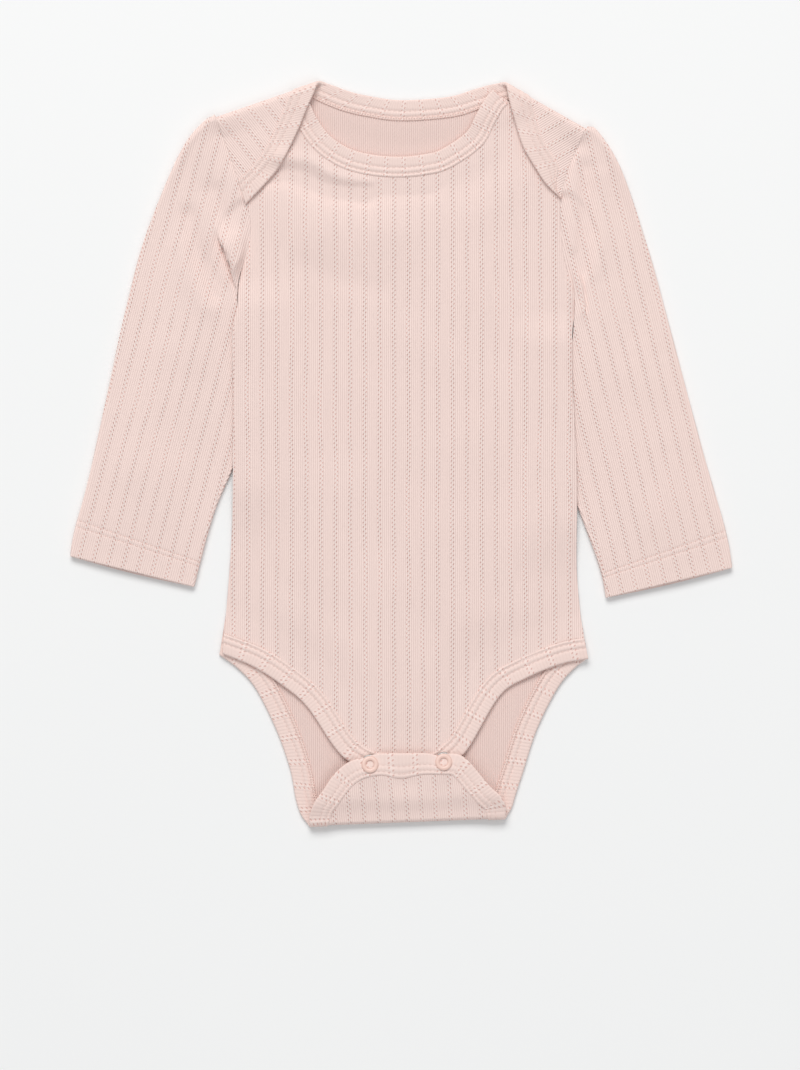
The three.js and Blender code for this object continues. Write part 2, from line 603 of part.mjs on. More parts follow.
// A sleeve: a tube pressed flat, from the armhole to the cuff, with its hem turned up inside
function sleeve(side) {
  const away = side === 'left' ? -1 : 1;
  const hole = armholeStations[side].map((p, k, all) => {
    const tangent = all[Math.min(k + 1, all.length - 1)].clone().sub(all[Math.max(k - 1, 0)]).normalize();
    return p.clone().addScaledVector(new THREE.Vector2(tangent.y, -tangent.x), -away * ARMHOLE_GAP);
  }).reverse();
  const seamHeights = armholeStations[side].map((p, k) => (k <= FLAP_TIP_ROW
    ? flapHeight(p.x, p.y, -SHOULDER[side].beyond(p)) : frontHeight(p.x, p.y))).reverse();
  const inner = along(SLEEVE_INNER[side]);
  const outer = along(SLEEVE_OUTER[side]);
  const hemShare = HEM_WIDTH / ((inner.getLength() + outer.getLength()) / 2);
  const step = SLEEVE.hemStep / HEM_WIDTH * hemShare;
  const shares = [
    ...Array.from({ length: SLEEVE.rows + 1 }, (_, k) => (1 - hemShare - step) * (k / SLEEVE.rows)),
    ...Array.from({ length: SLEEVE.hemRows + 1 }, (_, k) => 1 - hemShare * (1 - k / SLEEVE.hemRows)),
  ];
  const down = shares.map((t) => inner.getPointAt(t));
  const out = shares.map((t) => outer.getPointAt(t));
  down[0] = hole[0];
  out[0] = hole.at(-1);
  const columns = hole.length - 1;
  const straight = row(hole[0], hole.at(-1), columns);
  const plan = shares.map((share, j) => row(down[j], out[j], columns).map((p, i) => {
    const curved = hole[i].clone().sub(straight[i]);
    return p.addScaledVector(curved, (1 - share) ** ARMHOLE_FADE);
  }));

  const rings = plan.map((line, j) => {
    const s = SLEEVE_SECTION;
    const atHole = 1 - ease(0, s.seamHeight, shares[j]);
    const radius = {
      inner: mix(LAYER / 2, SLEEVE_EDGE_RADIUS, ease(...s.cuffRound, shares[j])),
      outer: mix(SHOULDER_RADIUS, SLEEVE_EDGE_RADIUS, ease(0, s.shoulderRound, shares[j])),
    };
    const depthInside = shares[j] > 1 - hemShare - step / 2 ? HEM - CLOTH / 2 : CLOTH / 2;
    const fullness = SLEEVE_PUFF * (1 - s.cuffFlat.by * ease(s.cuffFlat.from, 1, shares[j]));
    const topHeight = (i) => {
      const f = i / columns;
      const rim = mix(radius.inner, radius.outer, ease(...s.rim, f));
      const puff = fullness * ease(...s.rise, f) * (1 - ease(...s.fall, f));
      const own = CLOTH / 2 + 2 * rim + puff;
      return mix(own, Math.max(seamHeights[i], own - puff), atHole);
    };
    const ends = [
      { at: line[0], next: line[1], radius: radius.inner },
      { at: line[columns], next: line[columns - 1], radius: radius.outer },
    ].map(({ at, next, radius: r }) => {
      const outward = at.clone().sub(next).normalize();
      return { centre: at.clone().addScaledVector(outward, -r - CLOTH / 2), outward };
    });
    const across = [ends[0].centre, ...line.slice(1, -1), ends[1].centre];
    const tops = across.map((_, i) => topHeight(i));
    const up = new THREE.Vector3(0, 0, 1);
    const spot = (p, z, normal) => ({ ...place(p.x, p.y, z, normal), under: depthInside });
    const top = across.map((p, i) => spot(p, tops[i], up));
    const bottom = across.map((p) => spot(p, CLOTH / 2, up.clone().negate()));
    const arc = ({ centre, outward }, height) => Array.from({ length: ARC_STEPS }, (_, k) => {
      const angle = Math.PI * (k + 1) / (ARC_STEPS + 1);
      const half = (height - CLOTH / 2) / 2;
      const p = centre.clone().addScaledVector(outward, half * Math.sin(angle));
      const lean = outward.clone().multiplyScalar(Math.sin(angle));
      const normal = new THREE.Vector3(lean.x, lean.y, Math.cos(angle));
      return spot(p, CLOTH / 2 + half * (1 + Math.cos(angle)), normal);
    });
    const bends = [arc(ends[0], tops[0]).reverse(), arc(ends[1], tops.at(-1))];
    const ring = [...top, ...bends[1], ...bottom.reverse(), ...bends[0]];
    if (side === 'left') ring.reverse();
    return [...ring, ring[0]];
  });
  return wall([rings]);
}

// Ring snaps, closed: cap and socket on the tongue, stud and back ring on the front
const lathe = (profile) => {
  const points = [...profile, profile[0]].map(([r, z]) => new THREE.Vector2(r, z));
  const made = new THREE.LatheGeometry(points, SNAP_SIDES);
  made.rotateX(Math.PI / 2);
  return made;
};
const ringProfile = (inner, outer, height) => [
  [inner, 0], [outer - CAP_SHAPE.bevel, 0], [outer, height * CAP_SHAPE.outer],
  [(inner + outer) / 2 + CAP_SHAPE.crown, height], [(inner + outer) / 2 - CAP_SHAPE.crown, height],
  [inner, height * CAP_SHAPE.inner],
];

function snapPieces({ side, x, y }) {
  const front = frontHeight(x, y);
  const tongue = tongueHeight(x, y, -CROTCH.beyond(new THREE.Vector2(x, y)));
  const studBase = front + BAND / 2 + SEAM_GAP;
  const socketBase = tongue - BAND / 2 - SEAM_GAP - SNAP.leaf;
  const knobTop = socketBase + SNAP.leaf - KNOB_SHORT - studBase;
  const pieces = [
    {
      name: 'cap', z: tongue + BAND / 2 + SEAM_GAP, colour: COLOURS.cap,
      profile: ringProfile(SNAP.capInner, SNAP.capOuter, SNAP.capHeight),
    },
    {
      name: 'socket', z: socketBase, colour: COLOURS.metal,
      profile: [[SNAP.socketInner, 0], [SNAP.plate, 0], [SNAP.plate, SNAP.leaf],
        [SNAP.socketInner, SNAP.leaf]],
    },
    {
      name: 'stud', z: studBase, colour: COLOURS.metal,
      profile: [[0, 0], [SNAP.plate, 0], [SNAP.plate, SNAP.leaf], [SNAP.knob, SNAP.leaf],
        [SNAP.knob, knobTop], [0, knobTop]],
    },
    {
      name: 'back_ring', z: front - BAND / 2 - SEAM_GAP - SNAP_RING, colour: COLOURS.metal,
      profile: [[SNAP.capInner, 0], [SNAP.plate, 0], [SNAP.plate, SNAP_RING],
        [SNAP.capInner, SNAP_RING]],
    },
  ];
  return pieces.map(({ name, z, colour, profile }) => {
    const finishOf = name === 'cap' ? HARD.cap : HARD.metal;
    const mesh = new THREE.Mesh(lathe(profile), new THREE.MeshStandardMaterial({ color: colour, ...finishOf }));
    mesh.name = `snap_${side}_${name}`;
    mesh.position.set(x, y, z);
    return mesh;
  });
}

const knit = new THREE.MeshStandardMaterial({ color: COLOURS.knit, ...SOFT });
const bandKnit = new THREE.MeshStandardMaterial({ color: COLOURS.band, ...SOFT });
function piece(name, geometry, material) {
  const mesh = new THREE.Mesh(geometry, material);
  mesh.name = name;
  return mesh;
}

const garment = new THREE.Group();
garment.add(
  piece('front', frontPanel(), knit),
  piece('back', backPanel(), knit),
  piece('sleeve_left', sleeve('left'), knit),
  piece('sleeve_right', sleeve('right'), knit),
  piece('front_neck_binding', band(frontNeckStations, onFront), bandKnit),
  piece('back_neck_binding', band(backNeckStations, onBack), bandKnit),
  piece('front_leg_binding', band(frontLegStations, onFront), bandKnit),
  piece('back_leg_binding', band(backLegStations, onBack), bandKnit),
  ...SNAP_PLACES.flatMap(snapPieces),
);

export default garment;
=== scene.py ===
"""A long-sleeved baby bodysuit in pointelle knit, laid flat on a pale table.

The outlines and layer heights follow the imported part, in millimetres, divided more finely. Each cut piece
is a wall of cloth, each bound edge a folded strip round its edge, and the stitches are separate threads.
"""
import math

import bpy
import numpy as np
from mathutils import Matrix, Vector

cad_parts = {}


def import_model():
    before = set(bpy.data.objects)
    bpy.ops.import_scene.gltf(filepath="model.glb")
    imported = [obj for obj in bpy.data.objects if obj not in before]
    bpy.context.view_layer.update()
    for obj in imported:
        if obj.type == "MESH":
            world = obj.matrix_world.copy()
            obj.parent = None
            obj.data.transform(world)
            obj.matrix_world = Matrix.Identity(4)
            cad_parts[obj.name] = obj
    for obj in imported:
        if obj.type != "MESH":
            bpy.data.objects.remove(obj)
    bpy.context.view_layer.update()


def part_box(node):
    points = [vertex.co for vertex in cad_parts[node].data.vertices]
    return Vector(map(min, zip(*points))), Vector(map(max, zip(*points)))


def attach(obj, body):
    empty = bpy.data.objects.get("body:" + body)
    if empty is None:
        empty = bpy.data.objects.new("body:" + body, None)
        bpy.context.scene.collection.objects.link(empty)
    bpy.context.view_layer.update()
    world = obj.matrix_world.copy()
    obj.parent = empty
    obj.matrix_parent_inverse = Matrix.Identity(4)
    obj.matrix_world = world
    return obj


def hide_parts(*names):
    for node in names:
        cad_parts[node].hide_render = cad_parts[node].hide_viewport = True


MM = 0.001

# Cloth
CLOTH = 1.0
STRIP = 0.54  # the pressed strip of a bound edge
BAND = 2.2  # a bound edge, with the cloth inside it
BAND_WIDTH = 12.0
HEM = 1.6
HEM_WIDTH = 18.0
LAYER = CLOTH + 0.3  # with the air under it
BAND_EXTRA = (BAND - CLOTH) / 2
ARMHOLE_GAP = 0.05  # between the body and the sleeve that is sewn to it
TUCKED_IN = 9.5  # how far the cloth's edge runs on inside a bound edge

# Folds and soft heights
SHOULDER_RADIUS = 2.5
CROTCH_RADIUS = 2.0
SLEEVE_EDGE_RADIUS = 1.3
BODY_PUFF = 2.2
SLEEVE_PUFF = 2.0
FLAP_SLACK = 0.5
SLEEVE_LIFT = 2.8
RING_ROOM = 0.8
SNAP_ROOM = 1.8
SNAP_TILT = 0.36  # how steeply the rim slopes over a snap
SIDE_DENT, SEAM_DENT = 0.7, 0.45  # how far the cloth is drawn in at a side seam, and at any seam
FRONT_WAVES, SLEEVE_WAVES = 0.35, 0.3  # of cloth that was smoothed by hand
TONGUE_SAG = 0.9  # of the cloth between the snaps
RIM_DIP, SEAM_SAG = 1.3, 2.6  # on the plan, over each snap and between them
STITCH_DENT = 0.3

# How finely each piece is divided
SHOULDER_COLUMNS, NECK_COLUMNS, LEG_COLUMNS, CROTCH_COLUMNS = 16, 84, 42, 32
ARMHOLE_ROWS, SIDE_ROWS, FOLD_ROWS, TONGUE_ROWS = 90, 110, 16, 16
FLAP_TIP_ROW = 36
SLEEVE_ROWS, SLEEVE_COLUMNS, ARC_STEPS = 96, 130, 7

# Outlines on the plan
ARMHOLE = {
    "left": [(-105.9, 192.1), (-100.1, 175.6), (-91.3, 149.6), (-87.2, 134), (-89, 116), (-92.6, 105.6)],
    "right": [(105.4, 186.2), (95.5, 162.3), (91.9, 143), (93.4, 117.9), (96.6, 104), (101.6, 88.4)],
}
SIDE = {
    "left": [(-92.6, 105.6), (-94, 97.7), (-94.8, 84.4), (-97.4, 70.5), (-97, 30), (-97.9, -43.8),
             (-102.2, -103.2)],
    "right": [(101.6, 88.4), (99.6, 77), (98.6, 66), (98.9, 42.8), (101.5, -14.9), (101.5, -66.8),
              (105.2, -105.8)],
}
SHOULDER_LINE = {"left": [(-106.9, 195.2), (-49.8, 214.8)], "right": [(61.1, 214.3), (106.1, 188.9)]}
CROTCH_LINE = [(50.7, -211.0), (-46.6, -214.8)]
FLAP_EDGE = {
    "left": [(-89.8, 144.35), (-88.1, 146.1), (-79.2, 155.4), (-69.4, 167.5), (-59.2, 187.7), (-53.2, 202)],
    "right": [(92.6, 147.65), (90.9, 149.3), (83, 156.8), (77, 165.8), (70, 177.9), (65.5, 192.3),
              (62.8, 201.9)],
}
FLAP_NECK_END = {"left": (-46, 212), "right": (56, 213)}
BACK_NECK = [(-34.2, 211.4), (-15.1, 206.6), (2, 204.8), (27.6, 206.8), (43.2, 211.4)]
BACK_NECK_END = {"left": (-46, 214.5), "right": (58.5, 213)}
FRONT_NECK = [
    (-54.5, 207), (-52.6, 202.7), (-48.6, 194.1), (-41.1, 184.2), (-29.6, 176.7), (-15.1, 173), (0.5, 172.1),
    (14, 173.6), (23, 176.2), (37.4, 186), (43.2, 196.4), (48.9, 206.2), (53, 210.5),
]
FRONT_LEG = [
    (-103, -115.3), (-85.2, -122.8), (-68.2, -133.8), (-54.4, -145.9), (-38.8, -169), (-29.6, -177.8),
    (-17, -183.8), (3, -185.6), (22, -183.8), (33, -176), (40.1, -167.8), (57, -139.6), (72.5, -129.2),
    (92.6, -121.1), (108.1, -118.2),
]
CROTCH_END = FRONT_LEG[5:10]
BACK_LEG = {
    "left": [(-105.2, -115.9), (-93.6, -124.6), (-83.8, -136.1), (-72.3, -159.2), (-64.2, -182.3),
             (-60, -203)],
    "right": [(107.9, -117.8), (99.2, -124.6), (89.9, -136.1), (78.4, -159.2), (70.9, -182.3), (65, -201)],
}
BACK_LEG_END = {"left": (-57.5, -213), "right": (62.5, -210)}
TONGUE_CORNER = {"left": (-32, -178.5), "right": (39, -177)}
HIP_SEAM = {"left": (-102.3, -103.5), "right": (105.3, -106.1)}
TONGUE_EDGE = [
    (-51.2, -203.1), (-45.1, -193.8), (-38.8, -184.6), (-29.6, -177.1), (-15.7, -172.9), (4.5, -172.3),
    (23, -172.5), (36, -174.5), (50.7, -190.9), (58.8, -199.5),
]
SLEEVE_OUTER = {
    "left": [(-106.6, 193.6), (-112.1, 193.9), (-126.5, 175.6), (-146.7, 129.4), (-159.4, 83.2),
             (-179.6, -9.1), (-188.9, -43.8), (-191.4, -59.0)],
    "right": [(106.3, 187.4), (112.3, 187.9), (126.9, 164), (143, 117.9), (155.7, 71.7), (174.2, 2.4),
              (187.5, -43.8), (191.4, -65.7)],
}
SLEEVE_INNER = {
    "left": [(-93.2, 105.2), (-94.35, 97), (-94.6, 85), (-92.8, 72), (-88, 45), (-86.5, 20), (-97.7, -9.1),
             (-108.6, -35.7), (-119.6, -76.7)],
    "right": [(103.3, 87.6), (100.2, 78), (98.8, 66), (96, 55), (91, 35), (89.5, 5), (102, -30.5),
              (114.5, -65.1), (118.2, -83.0)],
}
# Where each side edge of the body lies over a sleeve: which side, how far out, the heights between which it
# comes on and those between which it ends
TUCKED_SIDES = [(-1, 97.4, 104, 82, -15, -52), (1, 99.5, 85, 63, -37, -74)]
SNAP_PLACES = {"left": (-18.0, -178.8), "right": (24.5, -177.4)}
BETWEEN_SNAPS = 3  # across, the middle between them
SIDES = ("left", "right")

# Soft creases: the line that each follows, its width and its height, which is below nothing for a trough
FRONT_CREASES = [
    ([(-74, 161), (-62, 160), (-44, 152), (-22, 149)], 6, -2.4),
    ([(-70, 172), (-52, 169), (-38, 162), (-20, 158)], 4.5, 1.5),
    ([(-20, 151), (0, 152), (16, 154)], 6, -1.1),
    ([(-72, 140), (-40, 127), (-8, 130)], 17, 1.3),
    ([(-58, 109), (-35, 101), (-12, 95)], 7, -0.5),
    ([(10, 160), (40, 158), (66, 170)], 9, -0.4),
    ([(60, 60), (80, 20), (88, -20)], 14, -0.5),
    ([(-85, -60), (-60, -84), (-30, -96)], 12, -0.4),
    ([(70, -70), (50, -95), (30, -120)], 12, -0.4),
    ([(-20, 40), (0, 0), (10, -40)], 20, 0.4),
]
SLEEVE_CREASES = {
    "left": [
        ([(-123, 138), (-119, 120), (-113, 106), (-107, 94)], 5, -2.0),
        ([(-108, 152), (-104, 139)], 5, -1.9),
        ([(-128, 120), (-122, 100), (-112, 84)], 6, 0.9),
        ([(-140, 60), (-150, 20), (-158, -10)], 10, 0.5),
        ([(-120, 40), (-128, 5)], 9, -0.5),
    ],
    "right": [
        ([(99, 172), (100, 150), (100, 120)], 3.5, 0.9),
        ([(107, 165), (107.5, 137), (104, 108)], 5, -1.9),
        ([(115, 160), (117, 130), (112, 105)], 5, 0.8),
        ([(118, 100), (128, 60)], 8, -0.5),
        ([(140, 60), (152, 10)], 10, 0.5),
        ([(112, 120), (116, 96)], 5, 0.4),
    ],
}
# A fold of each sleeve beside the body that hangs over away from it, with a dark crease at its foot
OVERHANG = {
    "left": ([(-108.5, 133), (-105.5, 125), (-101.3, 117.5), (-97.4, 106.5), (-95.5, 98), (-94, 88)],
             11, 5.6),
    "right": ([(101.5, 116), (102.4, 106), (104.5, 96), (106, 86)], 7, -1.6),
}


# Plane geometry, on arrays of places
def ease(low, high, x):
    t = np.clip((x - low) / (high - low), 0, 1)
    return t * t * (3 - 2 * t)


def blend(a, b, t):
    return a + (b - a) * t


def hump(off, width):
    """1 where off is nothing, falling away smoothly on both sides."""
    return np.exp(-((off / width) ** 2))


def unit(way):
    return way / np.linalg.norm(way, axis=-1, keepdims=True)


def right_of(way):
    return np.stack([way[..., 1], -way[..., 0]], -1)


def marks_along(places):
    """How far along a row of places each one is."""
    return np.concatenate([[0], np.cumsum(np.linalg.norm(np.diff(places, axis=0), axis=1))])


def share(places):
    """The same, from 0 to 1."""
    marks = marks_along(places)
    return marks / marks[-1]


class Line:
    """A smooth curve through points, measured in millimetres along itself."""

    def __init__(self, points, steps=40):
        p = np.asarray(points, float)
        i = np.arange(len(p) - 1)
        a, b = p[i, None], p[i + 1, None]
        lead = (b - p[np.maximum(i - 1, 0), None]) / 2
        tail = (p[np.minimum(i + 2, len(p) - 1), None] - a) / 2
        t = np.linspace(0, 1, steps, endpoint=False)[None, :, None]
        curve = (2 * (a - b) + lead + tail) * t**3 + (3 * (b - a) - 2 * lead - tail) * t**2 + lead * t + a
        self.places = np.vstack([curve.reshape(-1, p.shape[1]), p[-1:]])
        self.marks = marks_along(self.places)
        self.length = self.marks[-1]
        self.ways = unit(np.gradient(self.places, axis=0))

    def read(self, table, s):
        return np.stack([np.interp(s, self.marks, table[:, k]) for k in range(table.shape[1])], -1)

    def at(self, s):
        return self.read(self.places, s)

    def spread(self, count):
        return self.at(np.linspace(0, self.length, count + 1))


def from_lines(lines):
    """A measure of how far a place is from the nearest of these lines."""
    chains = [line.spread(64) for line in lines]

    def distance(p):
        plan = p.reshape(-1, 2)
        best = np.full(len(plan), np.inf)
        for chain in chains:
            for a, b in zip(chain[:-1], chain[1:]):
                step = b - a
                off = plan - a
                t = np.clip((off @ step) / (step @ step), 0, 1)
                off -= t[:, None] * step
                best = np.minimum(best, (off * off).sum(1))
        return np.sqrt(best).reshape(p.shape[:-1])

    return distance


class Fold:
    """A straight fold of the back piece: cloth past the line goes round a half circle and lies on top."""

    def __init__(self, line, radius):
        start, end = np.array(line, float)
        way = unit(end - start)
        self.outward = np.array([-way[1], way[0]])
        self.point = start - self.outward * (radius + BAND_EXTRA / 2 + CLOTH / 2)
        self.radius = radius
        self.turn = math.pi * radius

    def beyond(self, p):
        return (p - self.point) @ self.outward

    def unfold(self, p):
        p = np.asarray(p, float)
        return p + (2 * -self.beyond(p) + self.turn)[..., None] * self.outward


SHOULDER = {side: Fold(SHOULDER_LINE[side], SHOULDER_RADIUS) for side in SIDES}
CROTCH = Fold(CROTCH_LINE, CROTCH_RADIUS)

to_back_edges = from_lines([
    Line([BACK_NECK_END["left"], *BACK_NECK, BACK_NECK_END["right"]]),
    *(Line([*BACK_LEG[side], BACK_LEG_END[side]]) for side in SIDES),
])
to_front_neck = from_lines([Line(FRONT_NECK)])
to_front_edges = from_lines([Line(FRONT_NECK), Line(FRONT_LEG)])
to_flap_edges = from_lines([Line([*FLAP_EDGE[side], FLAP_NECK_END[side]]) for side in SIDES])
to_tongue_edge = from_lines([Line(TONGUE_EDGE)])
to_sides = from_lines([Line(outline[side]) for side in SIDES for outline in (SIDE, ARMHOLE)])
to_side_seams = from_lines([Line(SIDE[side]) for side in SIDES])
to_crotch_end = from_lines([Line(CROTCH_END)])


def near_band(distance):
    """1 on a bound edge and just past it, falling to 0 further in."""
    return 1 - ease(BAND_WIDTH + 2, BAND_WIDTH + 15, distance)


def creased(creases):
    measures = [(from_lines([Line(points)]), width, height) for points, width, height in creases]

    def height(p):
        return sum(high * hump(measure(p), width) for measure, width, high in measures)

    return height


def overhang(points, width, height):
    """A step up that leans out over a line, with a groove at its foot.

    The high side is on the line's left, or on its right for a height below nothing.
    """
    lip, lip_rise, foot, groove, lean_out, lean_reach = 0.55, 2.5, 0.7, 0.32, 0.6, 2.5
    chain = Line(points).spread(60)
    a, way = chain[:-1], np.diff(chain, axis=0)
    marks = np.linspace(0, 1, len(chain))

    def raised(p):
        off = p.reshape(-1, 1, 2) - a
        t = np.clip((off * way).sum(-1) / (way * way).sum(-1), 0, 1)
        off = off - t[..., None] * way
        gap = np.linalg.norm(off, axis=-1)
        k = gap.argmin(1)
        row = np.arange(len(k))
        gap, off, near = gap[row, k], off[row, k], way[k]
        high_side = (near[:, 0] * off[:, 1] - near[:, 1] * off[:, 0]) * np.sign(height) > 0
        strength = abs(height) * ease(0, 0.35, marks[k] + t[row, k] / len(a))
        crest = np.where(high_side, lip + (1 - lip) * ease(0, lip_rise, gap), lip)
        rise = crest * hump(gap, np.where(high_side, width, foot))
        rise = strength * (rise - groove * ~high_side * hump(gap - 1.1, 0.9))
        beside = unit(right_of(near))
        lean = np.sign(height) * lean_out * rise * high_side * np.exp(-gap / lean_reach)
        return rise.reshape(p.shape[:-1]), (beside * lean[:, None]).reshape(p.shape)

    return raised


front_creases = creased(FRONT_CREASES)
overhangs = {side: overhang(*OVERHANG[side]) for side in SIDES}
sleeve_creases = {side: creased(SLEEVE_CREASES[side]) for side in SIDES}


def unevenness(p, scale=1.0):
    """The slight waviness of cloth that was smoothed by hand: a few long waves, from -1 to 1."""
    waves = [(0.071, 0.023, 0.4), (-0.034, 0.083, 1.9), (0.113, -0.061, 3.1), (0.047, 0.131, 5.2)]
    x, y = p[..., 0] / scale, p[..., 1] / scale
    return sum(np.sin(a * x + b * y + c) for a, b, c in waves) / len(waves)


# Heights of the middle of each layer above the table
def back_height(p):
    x, y = p[..., 0], p[..., 1]
    lift = 0
    for side, edge, top, full, out, end in TUCKED_SIDES:
        across = 1 - ease(12, 48, edge - side * x)
        lift = lift + across * (1 - ease(full, top, y)) * ease(end, out, y)
    return CLOTH / 2 + BAND_EXTRA * near_band(to_back_edges(p)) + SLEEVE_LIFT * lift


def front_height(p):
    edges, sides = to_front_edges(p), to_sides(p)
    bands = near_band(to_back_edges(p)) + near_band(edges)
    room = ease(0, 40, sides) * ease(BAND_WIDTH, 46, edges)
    folds = front_creases(p) * ease(0, 14, sides) * ease(BAND_WIDTH - 4, BAND_WIDTH + 8, edges)
    waves = FRONT_WAVES * unevenness(p) * room
    ring = RING_ROOM * (1 - ease(14, 50, to_crotch_end(p)))
    closing = SIDE_DENT * (1 - ease(0, 3, to_side_seams(p))) + SEAM_DENT * (1 - ease(0, 2, sides))
    puff = np.maximum(BODY_PUFF * room + folds + waves, -0.25)  # a trough goes no deeper than the back
    return back_height(p) + LAYER + BAND_EXTRA * bands + puff + ring - closing


def flap_height(p, inside):
    bands = near_band(to_front_neck(p)) + near_band(to_flap_edges(p))
    # both layers are sewn in at the armhole, so they lie close there
    lying_on = blend(CLOTH + 0.06, LAYER + FLAP_SLACK, ease(0, 12, to_sides(p)))
    stacked = front_height(p) + lying_on + BAND_EXTRA * bands
    return blend(back_height(p) + 2 * SHOULDER_RADIUS, stacked, ease(0, 12, inside))


def tongue_height(p, inside):
    bands = near_band(to_front_edges(p)) + near_band(to_tongue_edge(p))
    stacked = front_height(p) + LAYER + BAND_EXTRA * bands + SNAP_ROOM
    for place in SNAP_PLACES.values():  # each snap draws the rim down over it
        off = p - place
        stacked = stacked - SNAP_TILT * off[..., 1] * np.exp(-((off / 7.5) ** 2).sum(-1))
    sag = hump(p[..., 0] - BETWEEN_SNAPS, 9) * hump(to_tongue_edge(p) - 18, 5)
    return blend(back_height(p) + 2 * CROTCH_RADIUS, stacked - TONGUE_SAG * sag, ease(0, 13, inside))


# Places on a layer: the middle of the cloth in space, and the direction across it
def lying(p, z, way=(0, 0, 1)):
    spot = np.concatenate([p, z[..., None]], -1)
    return spot, np.broadcast_to(np.array(way, float), spot.shape).copy()


def on_front(p):
    return lying(p, front_height(p))


def round_fold(fold, height_on_top, p):
    """Cloth beyond a fold: round its half circle, and then upside down on the layers below."""
    beyond = fold.beyond(p)
    foot = p - beyond[..., None] * fold.outward
    inside = np.maximum(beyond - fold.turn, 0)
    top, under = lying(foot - inside[..., None] * fold.outward, 0 * beyond, (0, 0, -1))
    top[..., 2] = height_on_top(top[..., :2], inside)
    angle = np.minimum(beyond / fold.radius, math.pi)
    sine, cosine = np.sin(angle)[..., None], np.cos(angle)
    rise = fold.radius * (1 - cosine)
    bend, across = lying(foot + fold.radius * sine * fold.outward, back_height(foot) + rise)
    across[..., :2] = -sine * fold.outward
    across[..., 2] = cosine
    turned = (beyond >= fold.turn - 1e-6)[..., None]
    return np.where(turned, top, bend), np.where(turned, under, across)


def on_back(p):
    """From the back piece's flat pattern to where its cloth lies."""
    spot, way = lying(p, back_height(p))
    x, y = p[..., 0], p[..., 1]
    for fold, height, here in (
        (SHOULDER["left"], flap_height, (x < 0) & (y > 0)),
        (SHOULDER["right"], flap_height, (x > 0) & (y > 0)),
        (CROTCH, tongue_height, y < 0),
    ):
        over = here & (fold.beyond(p) > 0)
        if over.any():
            spot[over], way[over] = round_fold(fold, height, p[over])
    return spot, way


# Making meshes
def filled(top, bottom, left, right):
    """Fills the inside of four border lines, corner to corner, the way a stretched cloth would."""
    rows, columns = np.linspace(0, 1, len(left))[:, None], np.linspace(0, 1, len(top))[None, :]
    u = blend(share(top)[None, :], share(bottom)[None, :], rows)[..., None]
    v = blend(share(left)[:, None], share(right)[:, None], columns)[..., None]
    made = top[None] * (1 - v) + bottom[None] * v + left[:, None] * (1 - u) + right[:, None] * u
    made -= top[0] * (1 - u) * (1 - v) + top[-1] * u * (1 - v) + bottom[0] * (1 - u) * v + bottom[-1] * u * v
    made[0], made[-1], made[:, 0], made[:, -1] = top, bottom, left, right
    return made


def grid(places, grain, over=CLOTH / 2, under=CLOTH / 2):
    """One grid of a wall: the cloth's middle, the way across it, its grain and its thickness each way."""
    spot, way = places
    shape = spot.shape[:2]
    return {
        "spot": spot, "way": way, "grain": grain,
        "over": np.broadcast_to(over, shape), "under": np.broadcast_to(under, shape),
    }


def wall(name, grids, materials):
    """A closed wall of cloth from grids that are joined wherever they share places."""
    flat = {key: np.concatenate([g[key].reshape(-1, *g[key].shape[2:]) for g in grids]) for key in grids[0]}
    quads, base = [], 0
    for g in grids:
        rows, columns = g["spot"].shape[:2]
        i = base + np.arange(rows * columns).reshape(rows, columns)
        quads.append(np.stack([i[:-1, :-1], i[1:, :-1], i[1:, 1:], i[:-1, 1:]], -1).reshape(-1, 4))
        base += rows * columns
    quads = np.concatenate(quads)
    _, first, joined = np.unique(np.round(flat["spot"], 3), axis=0, return_index=True, return_inverse=True)
    joined = joined.ravel()
    spot, way = flat["spot"][first], flat["way"][first]
    count = len(first)
    skins = np.vstack([spot + way * flat["over"][first, None], spot - way * flat["under"][first, None]])
    a, b = quads.ravel(), np.roll(quads, -1, axis=1).ravel()
    go, back = joined[a] * count + joined[b], joined[b] * count + joined[a]
    free = ~np.isin(go, back) & (joined[a] != joined[b])
    a, b = a[free], b[free]
    faces = np.vstack([
        joined[quads], joined[quads[:, ::-1]] + count,
        np.stack([joined[a], joined[a] + count, joined[b] + count, joined[b]], -1),
    ])
    corners = np.vstack([quads, quads[:, ::-1], np.stack([a, a, b, b], -1)])
    side = np.concatenate([np.zeros(len(quads), int), np.ones(len(quads), int), np.zeros(len(a), int)])
    return mesh_piece(name, skins, faces, materials, flat["grain"][corners], side)


def mesh_piece(name, verts, faces, materials, grain=None, side=None):
    """A mesh from rows of four corners, in millimetres. A corner that is there twice is left out."""
    mesh = bpy.data.meshes.new(name)
    rows = [tuple(dict.fromkeys(row)) for row in faces.tolist()]
    whole = [k for k, row in enumerate(rows) if len(row) > 2]
    mesh.from_pydata((verts * MM).tolist(), [], [rows[k] for k in whole])
    if grain is not None:
        kept = [grain[k][faces[k].tolist().index(v)] for k in whole for v in rows[k]]
        mesh.uv_layers.new(name="grain").data.foreach_set("uv", np.array(kept, np.float32).ravel())
    for material in materials:
        mesh.materials.append(material)
    if side is not None:
        mesh.polygons.foreach_set("material_index", side[whole].astype(np.int32))
    mesh.polygons.foreach_set("use_smooth", np.ones(len(whole), bool))
    mesh.set_sharp_from_angle(angle=math.radians(50))
    mesh.validate()
    made = bpy.data.objects.new(name, mesh)
    bpy.context.scene.collection.objects.link(made)
    return made


